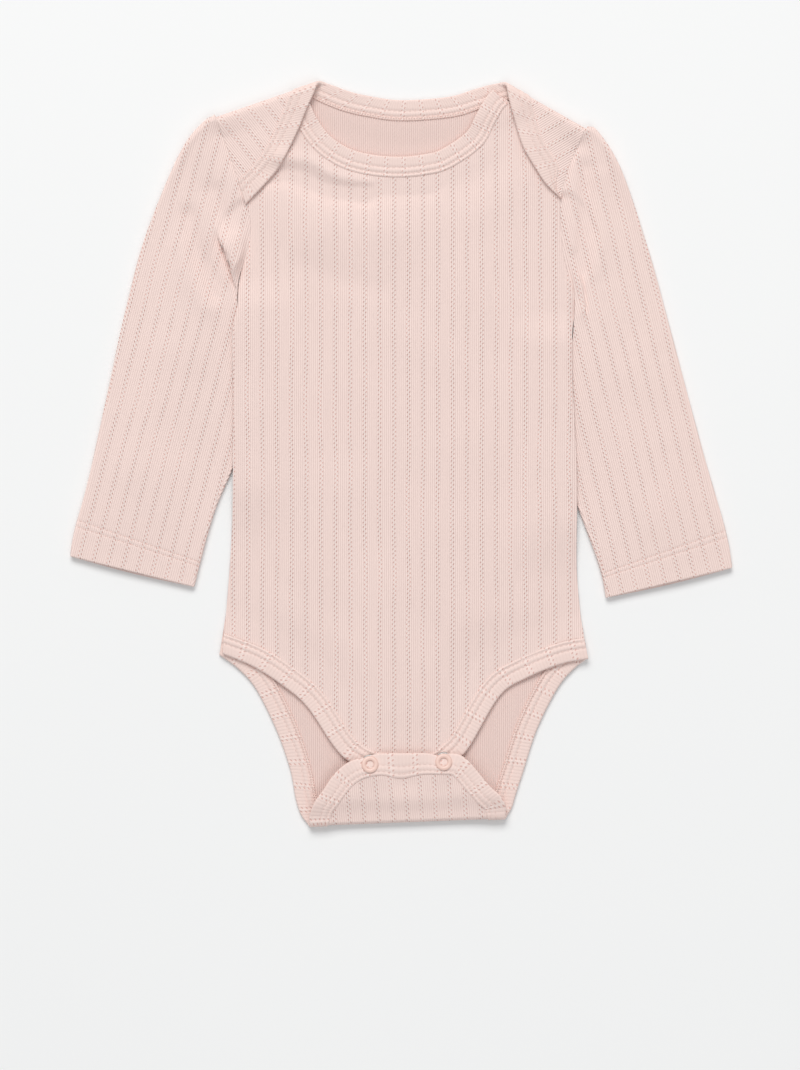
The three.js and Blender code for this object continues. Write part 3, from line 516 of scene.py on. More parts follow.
# Bound edges. The path is the outer edge on the flat pattern, with the cloth on its right-hand side.
class BoundEdge(Line):
    def seam(self, s):
        way = unit(self.read(self.ways, s))
        return self.at(s) + BAND_WIDTH * right_of(way)

    def nearest(self, target):
        s = np.linspace(0, self.length, 3000)
        return s[np.argmin(((self.at(s) - target) ** 2).sum(1))]

    def crossing(self, line, fold, beyond, low, high):
        """The length along the path at which the edge, or the seam, crosses a line beyond a fold."""
        s = np.linspace(low, high, 4000)
        off = fold.beyond(line(s)) - beyond
        k = np.nonzero(np.diff(np.sign(off)) != 0)[0][0]
        return s[k] + (s[k + 1] - s[k]) * off[k] / (off[k] - off[k + 1])

    def fold_marks(self, fold, low, high, going_out):
        steps = np.linspace(0, fold.turn, FOLD_ROWS + 1)
        steps = steps if going_out else steps[::-1]
        return np.array([[self.crossing(line, fold, b, low, high) for line in (self.at, self.seam)]
                         for b in steps])

    def stations(self, marks, ends=(None, None), corners=(), snapped=False):
        """Pairs of edge and seam places. A seam end may be drawn to the seam that it is sewn into.

        The thick edge can't turn a sharp corner at a fold, so it draws in there. Where it is snapped, its rim
        dips over each snap and its seam sags between them.
        """
        edge, seam = self.at(marks[:, 0]), self.seam(marks[:, 1])
        inward = (seam - edge) / BAND_WIDTH
        for fold, x, drawn in corners:
            off = abs(fold.beyond(edge) - fold.turn / 2)
            near = (1 - ease(0, 8, off)) * (abs(edge[:, 0] - x) < 30)
            edge = edge + inward * (drawn * near)[:, None]
        if snapped:
            over = CROTCH.beyond(edge) > CROTCH.turn + 15
            dips = sum(hump(edge[:, 0] - x, 4.2) for x, _ in SNAP_PLACES.values())
            edge = edge + inward * (RIM_DIP * dips * over)[:, None]
            weights = np.hanning(13)[1:-1] / np.hanning(13).sum()
            softened = [np.convolve(np.pad(line, 5, "edge"), weights, "valid") for line in seam.T]
            seam = np.where(over[:, None], np.stack(softened, -1), seam)
            seam = seam + inward * (SEAM_SAG * hump(edge[:, 0] - BETWEEN_SNAPS, 8.5) * over)[:, None]
        for end, near in zip(ends, (marks[:, 0], self.length - marks[:, 0])):
            if end is not None:
                last = seam[0] if near[0] < near[-1] else seam[-1]
                seam = seam + (1 - ease(0, 22, near))[:, None] * (np.array(end) - last)
        return np.stack([edge, seam], 1)


def between(a, b, count):
    """Evenly spaced marks or places from one to another, both included."""
    return np.linspace(a, b, count + 1)


def strung(*lists):
    """Joins lists of marks or places that share their ends."""
    return np.concatenate([marks if k == 0 else marks[1:] for k, marks in enumerate(lists)])


# The cross-section of a bound edge, as a folded strip: how far in from the edge, how far off the middle,
# and which way the strip faces there. Two rows of stitches press grooves into it.
STITCH_ROWS = (6.4, 9.9)
CHAIN_ROWS = (10.7, 11.7)
NECK_STRETCH, LEG_STRETCH = 1.25, 1.7
GROOVE, RIDGE, RAW_EDGE = 0.42, 0.16, 0.34  # how deep, how high, and how far the strip's end goes down
NOSE = BAND / 2 - STRIP / 2


def relief(inward):
    groove = sum(hump(inward - row, 0.7) for row in STITCH_ROWS)
    ridge = hump(inward - 8.15, 1.1) + 0.9 * hump(inward - 11.2, 0.6)
    return RIDGE * ridge - GROOVE * groove - RAW_EDGE * ease(11.3, 12.0, inward)


def strip_section():
    leg = np.concatenate([
        [12.0, 11.85, 11.6, 11.3, 11.0, 10.6], np.arange(10.3, 5.6, -0.3), [5.2, 4.4, 3.4, 2.2]])
    turn = np.radians(np.linspace(90, -90, 9))
    nose_in = NOSE * (1 - np.cos(turn)) + BAND / 2 - NOSE
    upper = [(w, NOSE + r, 0, 1) for w, r in zip(leg, relief(leg))]
    nose = [(w, NOSE * math.sin(a), -math.cos(a), math.sin(a)) for w, a in zip(nose_in, turn)]
    lower = [(w, -(NOSE + 0.6 * r), 0, -1) for w, r in zip(leg, relief(leg))][::-1]
    return np.array(upper + nose + lower)


SECTION = strip_section()


def strip_grid(stations, on_cloth, stretch):
    """The folded strip along the stations. Stretch widens its grain, as the strip is pulled on."""
    edge, seam = stations[:, 0], stations[:, 1]
    inward, off, lean, face = SECTION.T
    places = edge[:, None] + (seam - edge)[:, None] * (inward / BAND_WIDTH)[:, None]
    spot, way = on_cloth(places)
    ahead = on_cloth(edge + (seam - edge) * 0.02)[0] - on_cloth(edge)[0]
    spot = spot + way * off[:, None]
    facing = unit(ahead)[:, None] * lean[:, None] + way * face[:, None]
    along = marks_along((edge + seam) / 2)
    around = marks_along(np.stack([inward, off], -1))
    grain = np.stack(np.broadcast_arrays(along[:, None] / stretch, around[None, :]), -1)
    return grid((spot, facing), grain, STRIP / 2, STRIP / 2)


def cloth_edge(stations):
    """The cloth's own edge, inside the strip."""
    return stations[:, 1] + (stations[:, 0] - stations[:, 1]) * TUCKED_IN / BAND_WIDTH


# The armhole and side seam of each side
armhole = {side: Line(ARMHOLE[side]) for side in SIDES}
armhole_stations = {side: armhole[side].spread(ARMHOLE_ROWS) for side in SIDES}
side_share = np.linspace(0, 1, SIDE_ROWS + 1)[1:]
side_share = 0.55 * side_share + 0.45 * side_share**2  # closer together near the armhole
side_seam = {side: Line(SIDE[side]) for side in SIDES}
side_stations = {side: seam.at(seam.length * side_share) for side, seam in side_seam.items()}


def side_line(side, first_row, hip):
    return np.vstack([armhole_stations[side][first_row:], side_stations[side][:-4], hip[None]])


# The front piece
FRONT_TOP = ARMHOLE_ROWS // 10  # the armhole row at which its shoulder ends
PATH_START = np.zeros(2)  # the marks of edge and seam there
front_neck = BoundEdge(FRONT_NECK)
front_leg = BoundEdge(FRONT_LEG[::-1])
front_neck_stations = front_neck.stations(between(PATH_START, PATH_START + front_neck.length, NECK_COLUMNS))
front_leg_stations = front_leg.stations(
    between(PATH_START, PATH_START + front_leg.length, 2 * LEG_COLUMNS + CROTCH_COLUMNS),
    (HIP_SEAM["right"], HIP_SEAM["left"]),
)


def front_grids():
    neck, leg = cloth_edge(front_neck_stations), cloth_edge(front_leg_stations)[::-1]
    shoulder = {side: armhole_stations[side][FRONT_TOP] for side in SIDES}
    top = strung(between(shoulder["left"], neck[0], SHOULDER_COLUMNS), neck,
                 between(neck[-1], shoulder["right"], SHOULDER_COLUMNS))
    left, right = side_line("left", FRONT_TOP, leg[0]), side_line("right", FRONT_TOP, leg[-1])
    plan = filled(top, leg, left, right)
    return [grid(on_front(plan), plan)]


# The back piece on its flat pattern
back_neck = BoundEdge(np.vstack([
    SHOULDER["left"].unfold(FLAP_EDGE["left"]), BACK_NECK, SHOULDER["right"].unfold(FLAP_EDGE["right"])[::-1],
]))
back_leg = BoundEdge(np.vstack([
    BACK_LEG["right"], CROTCH.unfold(TONGUE_EDGE)[::-1], BACK_LEG["left"][::-1],
]))
middle = back_neck.length / 2
shoulder_marks = {
    "left": back_neck.fold_marks(SHOULDER["left"], 0, middle, False),
    "right": back_neck.fold_marks(SHOULDER["right"], middle, back_neck.length, True),
}
middle = back_leg.length / 2
crotch_marks = {
    "right": back_leg.fold_marks(CROTCH, 0, middle, True),
    "left": back_leg.fold_marks(CROTCH, middle, back_leg.length, False),
}
tongue_corner = {side: PATH_START + back_leg.nearest(CROTCH.unfold(TONGUE_CORNER[side])) for side in SIDES}
flap_tip = {side: SHOULDER[side].unfold(armhole_stations[side][FLAP_TIP_ROW]) for side in SIDES}
FLAP_ROWS = FLAP_TIP_ROW + 1 + FOLD_ROWS
back_neck_stations = back_neck.stations(strung(
    between(PATH_START, shoulder_marks["left"][0], FLAP_TIP_ROW + 1),
    shoulder_marks["left"],
    between(shoulder_marks["left"][-1], shoulder_marks["right"][0], NECK_COLUMNS),
    shoulder_marks["right"],
    between(shoulder_marks["right"][-1], PATH_START + back_neck.length, FLAP_TIP_ROW + 1),
), (flap_tip["left"], flap_tip["right"]), [(SHOULDER["left"], -50, 0.8), (SHOULDER["right"], 60, 0.8)])
back_leg_stations = back_leg.stations(strung(
    between(PATH_START, crotch_marks["right"][0], LEG_COLUMNS),
    crotch_marks["right"],
    between(crotch_marks["right"][-1], tongue_corner["right"], TONGUE_ROWS),
    between(tongue_corner["right"], tongue_corner["left"], CROTCH_COLUMNS),
    between(tongue_corner["left"], crotch_marks["left"][0], TONGUE_ROWS),
    crotch_marks["left"],
    between(crotch_marks["left"][-1], PATH_START + back_leg.length, LEG_COLUMNS),
), (HIP_SEAM["right"], HIP_SEAM["left"]), [(CROTCH, -50, 2.2), (CROTCH, 55, 2.2)], snapped=True)


def back_grids():
    neck, leg = cloth_edge(back_neck_stations), cloth_edge(back_leg_stations)[::-1]
    on_line = {}
    for side in SIDES:
        top = armhole_stations[side][0]
        on_line[side] = top - SHOULDER[side].beyond(top) * SHOULDER[side].outward
    right_start = FLAP_ROWS + NECK_COLUMNS
    top = strung(between(on_line["left"], neck[FLAP_ROWS], SHOULDER_COLUMNS),
                 neck[FLAP_ROWS:right_start + 1],
                 between(neck[right_start], on_line["right"], SHOULDER_COLUMNS))
    leg_end = len(leg) - 1 - LEG_COLUMNS
    bottom = strung(leg[:LEG_COLUMNS + 1], between(leg[LEG_COLUMNS], leg[leg_end], CROTCH_COLUMNS),
                    leg[leg_end:])
    left, right = side_line("left", 0, leg[0]), side_line("right", 0, leg[-1])
    left[0], right[0] = on_line["left"], on_line["right"]
    body = filled(top, bottom, left, right)

    def flap(side, k, edge_place):
        """A row of a flap, from the armhole to its bound edge: round the fold, and then on the front."""
        fold = SHOULDER[side]
        place = on_line[side] + fold.outward * min(k / FOLD_ROWS, 1) * fold.turn
        if k > FOLD_ROWS:
            place = fold.unfold(armhole_stations[side][k - FOLD_ROWS])
        line = between(place, edge_place, SHOULDER_COLUMNS)
        return line if side == "left" else line[::-1]

    left_flap = np.array([flap("left", k, neck[FLAP_ROWS - k]) for k in range(FLAP_ROWS)])[::-1]
    right_flap = np.array([flap("right", k, neck[right_start + k]) for k in range(FLAP_ROWS)])[::-1]
    tongue_rows = TONGUE_ROWS + FOLD_ROWS
    down = leg[LEG_COLUMNS:LEG_COLUMNS + tongue_rows + 1]
    up = leg[leg_end - tongue_rows:leg_end + 1][::-1]
    bend = np.array([between(down[k], up[k], CROTCH_COLUMNS) for k in range(FOLD_ROWS + 1)])
    end = leg[LEG_COLUMNS + tongue_rows:leg_end - tongue_rows + 1]
    tongue = filled(bend[-1], end, down[FOLD_ROWS:], up[FOLD_ROWS:])
    return [grid(on_back(plan), plan) for plan in (body, left_flap, right_flap, bend, tongue)]


# A sleeve: a tube pressed flat, from the armhole to the cuff, with its hem turned up inside.
# Its grid has rows at these steps from the armhole and from the cuff, and even rows between.
SEAM_STEPS = np.array([0, 0.6, 1.2, 1.9])
EVEN_FROM, EVEN_TO = 0.011, 19.5  # a share of the length, and how far from the cuff
CUFF_STEPS = np.array([
    19.0, 18.6, 18.1, 17.6, 17.2, 16.5, 15.9, 15.5, 15.0, 14.5, 14.1, 13.0, 11.5, 10.0, 8.5, 7.0, 5.5, 4.0,
    3.0, 2.0, 1.4, 1.0, 0.72, 0.45, 0.22, 0.07, 0,
])
CUFF_ROWS = (15.0, 18.1)  # of stitches, from the cuff's edge
CUFF_PEEK = 0.9  # how far the layer below shows past the top one


def read_rows(marks, drawn, table):
    """Reads each row of a table again, at new places along it."""
    return np.stack([[np.interp(d, m, row[:, k]) for d, m, row in zip(drawn, marks, table)]
                     for k in range(table.shape[2])], -1)


def edge_arc(centre, outward, height):
    """A round edge of the pressed tube, from the top layer down to the one on the table."""
    angle = np.linspace(0, math.pi, ARC_STEPS + 2)[1:-1]
    reach = ((height - CLOTH / 2) / 2)[:, None]
    places = centre[:, None] + outward[:, None] * (reach * np.sin(angle))[..., None]
    spot, facing = lying(places, CLOTH / 2 + reach * (1 + np.cos(angle)))
    facing[..., :2] = outward[:, None] * np.sin(angle)[:, None]
    facing[..., 2] = np.cos(angle)
    return spot, facing


def sleeve_grids(side):
    away = -1 if side == "left" else 1
    fold = SHOULDER[side]
    hole = armhole[side].spread(SLEEVE_COLUMNS)
    way = unit(np.gradient(hole, axis=0))
    marks = np.linspace(0, armhole[side].length, len(hole))
    tip = marks[np.argmin(((hole - FLAP_EDGE[side][0]) ** 2).sum(1))]  # where the flap's bound edge ends
    flap = flap_height(hole, -fold.beyond(hole))
    seam_heights = blend(flap, front_height(hole), ease(tip - 5, tip + 1, marks))[::-1]
    hole = (hole - away * ARMHOLE_GAP * right_of(way))[::-1]
    inner, outer = Line(SLEEVE_INNER[side]), Line(SLEEVE_OUTER[side])
    length = (inner.length + outer.length) / 2
    even = np.linspace(EVEN_FROM, 1 - EVEN_TO / length, SLEEVE_ROWS)
    shares = np.concatenate([SEAM_STEPS / length, even, 1 - CUFF_STEPS / length])
    down, out = inner.at(shares * inner.length), outer.at(shares * outer.length)
    down[0], out[0] = hole[0], hole[-1]
    columns = len(hole) - 1
    curved = hole - between(hole[0], hole[-1], columns)
    plan = np.linspace(down, out, columns + 1, axis=1) + curved * ((1 - shares) ** 12)[:, None, None]

    # the heights of the top layer: its own, and by the armhole those of the seam
    from_cuff = (1 - shares) * length
    s, f = shares[:, None], np.linspace(0, 1, columns + 1)[None]
    inner_round = blend(LAYER / 2, SLEEVE_EDGE_RADIUS, ease(0.6, 0.85, s))
    outer_round = blend(SHOULDER_RADIUS, SLEEVE_EDGE_RADIUS, ease(0, 0.15, s))
    rim = blend(inner_round, outer_round, ease(0.5, 1, f))
    room = ease(0.15, 0.5, f) * (1 - ease(0.6, 1, f))
    puff = SLEEVE_PUFF * room * (1 - 0.7 * ease(0.75, 1, s))
    own, seam = CLOTH / 2 + 2 * rim + puff, seam_heights[None]
    at_hole = 1 - ease(0, 0.3, s)
    tops = blend(own, blend(seam, np.maximum(seam, own - puff), ease(0, 0.07, s)), at_hole)
    stitched = sum(hump(from_cuff[:, None] - row, 0.5) for row in CUFF_ROWS)
    tops = tops - STITCH_DENT * stitched + SEAM_DENT * ease(0, 0.009, s) * at_hole
    off_edges = ease(0, 0.06, f) * (1 - ease(0.92, 1, f))
    folds = sleeve_creases[side](plan) * off_edges + SLEEVE_WAVES * unevenness(plan, 0.8) * room
    over_rise, over_lean = overhangs[side](plan)
    free = ease(0, 4, to_sides(plan))
    folds = folds + over_rise * (1 - ease(0.8, 1, f)) * free
    tops = np.maximum(tops + folds * ease(0, 0.02, s), np.minimum(tops, 1.5 * CLOTH + 0.05))

    # each row of the top is read again along its own line, so that it ends where the round edges begin
    past_seam = ease(0, 0.012, s)  # at the shoulder it goes on from the fold of the flap
    inner_way, outer_way = unit(plan[:, 0] - plan[:, 1]), unit(plan[:, -1] - plan[:, -2])
    outer_way = unit(blend(fold.outward, outer_way, past_seam))
    outer_draw = blend(max(float(fold.beyond(hole[-1])), 0), outer_round + CLOTH / 2, past_seam)
    row_marks = np.stack([marks_along(row) for row in plan])
    drawn = row_marks + (inner_round + CLOTH / 2) * (1 - f) ** 3 - outer_draw * f**3
    across = read_rows(row_marks, drawn, plan)
    tops = read_rows(row_marks, drawn, tops[..., None])[..., 0]
    over_lean = read_rows(row_marks, drawn, over_lean * free[..., None])

    # round the tube: the top, the outer edge, the layer on the table and the inner edge
    way_out = unit(down[-1] + out[-1] - down[-9] - out[-9])
    peek = (CUFF_PEEK * np.sin(math.pi * f) * (1 - ease(0, 8, from_cuff[:, None])))[..., None] * way_out
    parts = [
        lying(across + over_lean * ease(0, 0.02, s)[..., None], tops),
        edge_arc(across[:, -1], outer_way, tops[:, -1]),
        lying((across + peek)[:, ::-1], np.full(tops.shape, CLOTH / 2), (0, 0, -1)),
        [a[:, ::-1] for a in edge_arc(across[:, 0], inner_way, tops[:, 0])],
    ]
    spot, facing = (np.concatenate([*part, part[0][:, :1]], 1) for part in zip(*parts))

    # the grain follows the sleeve's middle line, and goes on round the tube from the outer fold
    middle = unit((down[-1] + out[-1]) / 2 - (hole[0] + hole[-1]) / 2)
    reach = spot[..., :2] @ np.array([-middle[1], middle[0]])
    fold_at = columns + (ARC_STEPS + 1) // 2
    girth = np.stack([marks_along(row) for row in spot])
    edge = reach[:, fold_at, None]
    round_it = edge + np.sign(edge - reach[:, :1]) * (girth - girth[:, fold_at, None])
    u = np.where(np.arange(spot.shape[1]) > fold_at, round_it, reach)
    grain = np.stack([u, spot[..., :2] @ middle], -1)

    # the hem's thickness lies inside, and the cuff's edge is round
    half_hem, centre = HEM / 2, (CLOTH - HEM) / 2
    rounded = np.sqrt(np.maximum(half_hem**2 - np.maximum(half_hem - from_cuff, 0) ** 2, 0.01))
    over = np.where(from_cuff < half_hem, centre + rounded, CLOTH / 2)
    under = np.where(from_cuff < HEM_WIDTH + 0.2, HEM - CLOTH / 2, CLOTH / 2)
    under = np.where(from_cuff < half_hem, rounded - centre, under)
    made = grid((spot, facing), grain, over[:, None], under[:, None])
    if side == "left":
        made = {key: value[:, ::-1] for key, value in made.items()}
    return [made], {"spot": spot, "facing": facing, "from_cuff": from_cuff}


# Stitches: separate threads that lie along a row, each a little arched, with its ends drawn in
THREAD_ARCH = np.array([-0.16, 0.02, 0.1, 0.02, -0.16])
THREAD_WIDTH = np.array([0.35, 0.9, 1.0, 0.9, 0.35])  # of its full width


def stitches(name, rows, material, length=2.3, gap=0.7, thread=0.2, sides=6):
    verts, faces, base = [], [], 0
    turn = np.linspace(0, 2 * math.pi, sides, endpoint=False)[:, None]
    for spots, ways in rows:
        line = Line(spots, 2)
        count = max(int(line.length / (length + gap)), 1)
        starts = (np.arange(count) + 0.1) * line.length / count
        s = starts[:, None] + np.linspace(0, length, len(THREAD_ARCH))
        ahead = unit(line.at(s + 0.2) - line.at(s - 0.2))
        up = unit(np.stack([np.interp(s, line.marks[::2], way) for way in ways.T], -1))
        ring = np.cos(turn) * np.cross(ahead, up)[:, :, None] + np.sin(turn) * up[:, :, None]
        rise, width = THREAD_ARCH[:, None, None], THREAD_WIDTH[:, None, None] * thread
        made = line.at(s)[:, :, None] + up[:, :, None] * rise + ring * width
        i = base + np.arange(made[..., 0].size).reshape(made.shape[:3])
        j = np.roll(i, -1, axis=2)
        verts.append(made.reshape(-1, 3))
        faces.append(np.stack([i[:, :-1], j[:, :-1], j[:, 1:], i[:, 1:]], -1).reshape(-1, 4))
        base += i.size
    return mesh_piece(name, np.vstack(verts), np.vstack(faces), [material])


def strip_row(stations, on_cloth, inward, face):
    """A row of stitches along a bound edge, on the face that its cloth shows that way."""
    edge, seam = stations[:, 0], stations[:, 1]
    spot, way = on_cloth(edge + (seam - edge) * inward / BAND_WIDTH)
    off = NOSE + STRIP / 2 + relief(np.array(inward)) * (1 if face > 0 else 0.6)
    return spot + face * way * off, face * way


# Materials
class Signal:
    """A shader socket that carries a number. Sums on it add the Math nodes that work them out."""

    def __init__(self, finish, socket):
        self.finish, self.socket = finish, socket

    def math(self, operation, *others):
        return self.finish.add("ShaderNodeMath", {"operation": operation}, dict(enumerate((self, *others))))

    def __add__(self, other):
        return self.math("ADD", other)

    def __sub__(self, other):
        return self.math("SUBTRACT", other)

    def __mul__(self, other):
        return self.math("MULTIPLY", other)

    def __truediv__(self, other):
        return self.math("DIVIDE", other)

    def __gt__(self, other):
        return self.math("GREATER_THAN", other)

    def __abs__(self):
        return self.math("ABSOLUTE")

    def __rsub__(self, other):
        return self.finish.add("ShaderNodeMath", {"operation": "SUBTRACT"}, {0: other, 1: self})

    def bell(self, width):
        """1 where this is nothing, falling away smoothly on both sides."""
        power = self * self * (-1 / width**2)
        return self.finish.add("ShaderNodeMath", {"operation": "POWER"}, {0: math.e, 1: power})


class Finish:
    """One material, and the ways to add nodes to it."""

    def __init__(self, name, **constants):
        self.material = bpy.data.materials.new(name)
        self.material.use_nodes = True
        self.tree = self.material.node_tree
        self.shader = self.tree.nodes["Principled BSDF"]
        for socket, value in constants.items():
            self.shader.inputs[socket.replace("_", " ")].default_value = value

    def add(self, kind, settings=None, inputs=None, output=0):
        node = self.tree.nodes.new(kind)
        for key, value in (settings or {}).items():
            setattr(node, key, value)
        for key, value in (inputs or {}).items():
            if isinstance(value, Signal):
                self.tree.links.new(value.socket, node.inputs[key])
            else:
                node.inputs[key].default_value = value
        return Signal(self, node.outputs[output])

    def mix(self, a, b, amount):
        """A colour between two, by an amount from 0 to 1."""
        a, b = ((*colour, 1) if isinstance(colour, tuple) else colour for colour in (a, b))
        return self.add("ShaderNodeMix", {"data_type": "RGBA"}, {0: amount, 6: a, 7: b}, 2)

    def noise(self, size, detail=2.0):
        """Soft noise about 0.5, with lumps of this size in millimetres."""
        place = self.add("ShaderNodeTexCoord", output=3)
        inputs = {"Vector": place, "Scale": 1 / (size * MM), "Detail": detail}
        return self.add("ShaderNodeTexNoise", None, inputs)

    def set(self, socket, value):
        self.tree.links.new(value.socket, self.shader.inputs[socket])

    def bump(self, height, depth):
        """Height is from about 0 to 1, and depth in millimetres."""
        inputs = {"Strength": 1.0, "Distance": depth * MM, "Height": height}
        self.set("Normal", self.add("ShaderNodeBump", None, inputs))


PINK = (0.95, 0.765, 0.71)
# painted highlight on the knit's raised loops
LOOP_HIGHLIGHT_PINK = (0.95, 0.82, 0.77)
# painted shade in the grooves between the knit's wales, and the uneven tone of the knit and the threads
DEEP_PINK = (0.74, 0.50, 0.45)
# painted shade: the darker pink of the shaded layer seen through the pointelle holes
HOLE_SHADE_PINK = (0.60, 0.27, 0.22)
BAND_PINK = (0.87, 0.695, 0.64)
INSIDE_PINK = (0.90, 0.70, 0.645)
THREAD_PINK, LOOPER_PINK = (0.80, 0.63, 0.58), (0.80, 0.58, 0.52)
ENAMEL, DARK_ENAMEL = (0.82, 0.585, 0.51), (0.74, 0.50, 0.43)
NICKEL, DARK_NICKEL = (0.83, 0.82, 0.80), (0.62, 0.60, 0.58)
COLUMN = 8.45  # from one column of pointelle holes to the next
HOLE_STEP = 2.55  # from one hole to the next down a column
HOLE_OFF = 0.68  # how far each of a pair of holes is off the column's middle
WALE = COLUMN / 7
LOOP = 0.8  # from one row of loops to the next
KNIT_RELIEF, THREAD_RELIEF = 0.42, 0.1


def knit(name, holes=1.0, wales=1.0, colour=PINK):
    """Pointelle knit: fine wales down the grain, and columns of paired holes at a slant. The holes carry
    painted shade, the raised loops round them a painted highlight, and the grooves between the wales painted
    shade.
    """
    finish = Finish(name, Roughness=0.88, Sheen_Weight=0.06, Sheen_Roughness=0.5, Specular_IOR_Level=0.15,
                    Sheen_Tint=(1.0, 0.8, 0.75, 1.0))
    grain = finish.add("ShaderNodeUVMap", {"uv_map": "grain"})
    parts = finish.tree.nodes.new("ShaderNodeSeparateXYZ")
    finish.tree.links.new(grain.socket, parts.inputs[0])
    u, v = Signal(finish, parts.outputs[0]), Signal(finish, parts.outputs[1])
    drift = (finish.noise(55, 1.0) - 0.5) * 3.0 + (v * 0.113 + u * 0.02).math("SINE") * 0.15
    across = (((u + drift) / COLUMN).math("FRACT") - 0.5) * COLUMN
    right = across > 0.0
    off = abs(across) - HOLE_OFF
    signed = off * (right * 2 - 1)
    down = ((v / HOLE_STEP + right * 0.42).math("FRACT") - 0.5) * HOLE_STEP - signed * 0.8
    reach = (off * off * 1.5 + down * down).math("SQRT")
    hole = reach.bell(0.46)
    lip = (reach - 0.85).bell(0.3)
    wale = abs((u * (math.pi / WALE)).math("SINE"))
    lean = abs((u / WALE).math("FRACT") - 0.5) * 1.6
    loop = ((v / LOOP + lean) * (2 * math.pi)).math("COSINE") * 0.5 + 0.5
    fuzz = finish.noise(0.5, 3.0)
    blotch = finish.noise(38, 2.0)
    yarn = finish.noise(3.0, 2.0)
    middle = across.bell(0.5)
    # painted shade: the grooves between the wales are deepened in colour; the blotch and yarn noise are the
    # knit's own uneven tone
    colour_now = finish.mix(colour, DEEP_PINK, (1 - wale) * (0.24 * wales) + blotch * 0.07 + yarn * 0.05)
    # painted highlight: the raised loops round each hole and between each pair of holes are lightened
    colour_now = finish.mix(colour_now, LOOP_HIGHLIGHT_PINK, (lip + middle) * (0.42 * holes))
    # painted shade: each hole is darkened towards the pink of the shaded layer behind it
    colour_now = finish.mix(colour_now, HOLE_SHADE_PINK, hole * (0.88 * holes))
    finish.set("Base Color", colour_now)
    finish.set("Roughness", fuzz * 0.1 + 0.83)
    height = wale * (0.6 * wales) + loop * (0.12 * wales) + (lip * 0.15 + middle * 0.2 - hole * 0.12) * holes
    finish.bump(height + fuzz * 0.22, KNIT_RELIEF)
    return finish.material


def thread_finish(name, colour):
    finish = Finish(name, Roughness=0.7, Sheen_Weight=0.15)
    finish.set("Base Color", finish.mix(colour, DEEP_PINK, finish.noise(0.7) * 0.35))
    finish.bump(finish.noise(0.15), THREAD_RELIEF)
    return finish.material


def cap_finish():
    finish = Finish("snap_enamel", Roughness=0.4, Coat_Weight=0.25, Coat_Roughness=0.3)
    finish.set("Base Color", finish.mix(ENAMEL, DARK_ENAMEL, finish.noise(1.4)))
    finish.set("Roughness", finish.noise(0.4) * 0.15 + 0.33)
    return finish.material


def metal_finish():
    finish = Finish("snap_nickel", Metallic=1.0, Roughness=0.2)
    finish.set("Base Color", finish.mix(NICKEL, DARK_NICKEL, finish.noise(0.8)))
    finish.set("Roughness", finish.noise(0.3) * 0.18 + 0.14)
    return finish.material


# Snaps: the profiles of radius and height, and how far each part leans
SOCKET = [(2.1, 0), (4.4, 0), (4.8, 0.2), (4.65, 0.5), (3.2, 0.62), (2.3, 0.55)]
STUD = [(0.01, 0), (4.4, 0), (4.75, 0.2), (4.6, 0.45), (2.2, 0.6), (1.55, 0.7)]  # up to the foot of its knob
CAP_RING, BACK_RING = (2.25, 4.85, 0.95), (2.5, 4.3, 0.5)  # the radii and height of each
CAP_TILT, SOCKET_TILT, STUD_TILT = -0.26, -0.16, -0.06


def turned_piece(name, profile, at, material, tilt, sides=48):
    """A ring or disc turned from its profile of radius and height, closed where it doesn't meet the axis."""
    profile = np.array(profile, float)
    turn = np.linspace(0, 2 * math.pi, sides, endpoint=False)
    x = profile[:, 0, None] * np.cos(turn)
    y = profile[:, 0, None] * np.sin(turn)
    z = profile[:, 1, None] + tilt * y
    verts = np.stack([x + at[0], y + at[1], z + at[2]], -1).reshape(-1, 3)
    i = np.arange(len(verts)).reshape(len(profile), sides)
    i, j = np.vstack([i, i[:1]]), np.roll(np.vstack([i, i[:1]]), -1, axis=1)
    faces = np.stack([i[:-1], j[:-1], j[1:], i[1:]], -1).reshape(-1, 4)
    return mesh_piece(name, verts, faces, [material])


def round_ring(inner, outer, height, steps=14):
    """A half-round ring: flat below, domed above, with its rims turned in."""
    middle, reach = (inner + outer) / 2, (outer - inner) / 2
    angle = np.linspace(0, math.pi, steps)
    dome = [(middle + reach * math.cos(a), height * (0.25 + 0.75 * math.sin(a) ** 0.7)) for a in angle]
    return [(outer - 0.15, 0), *dome, (inner + 0.15, 0)]


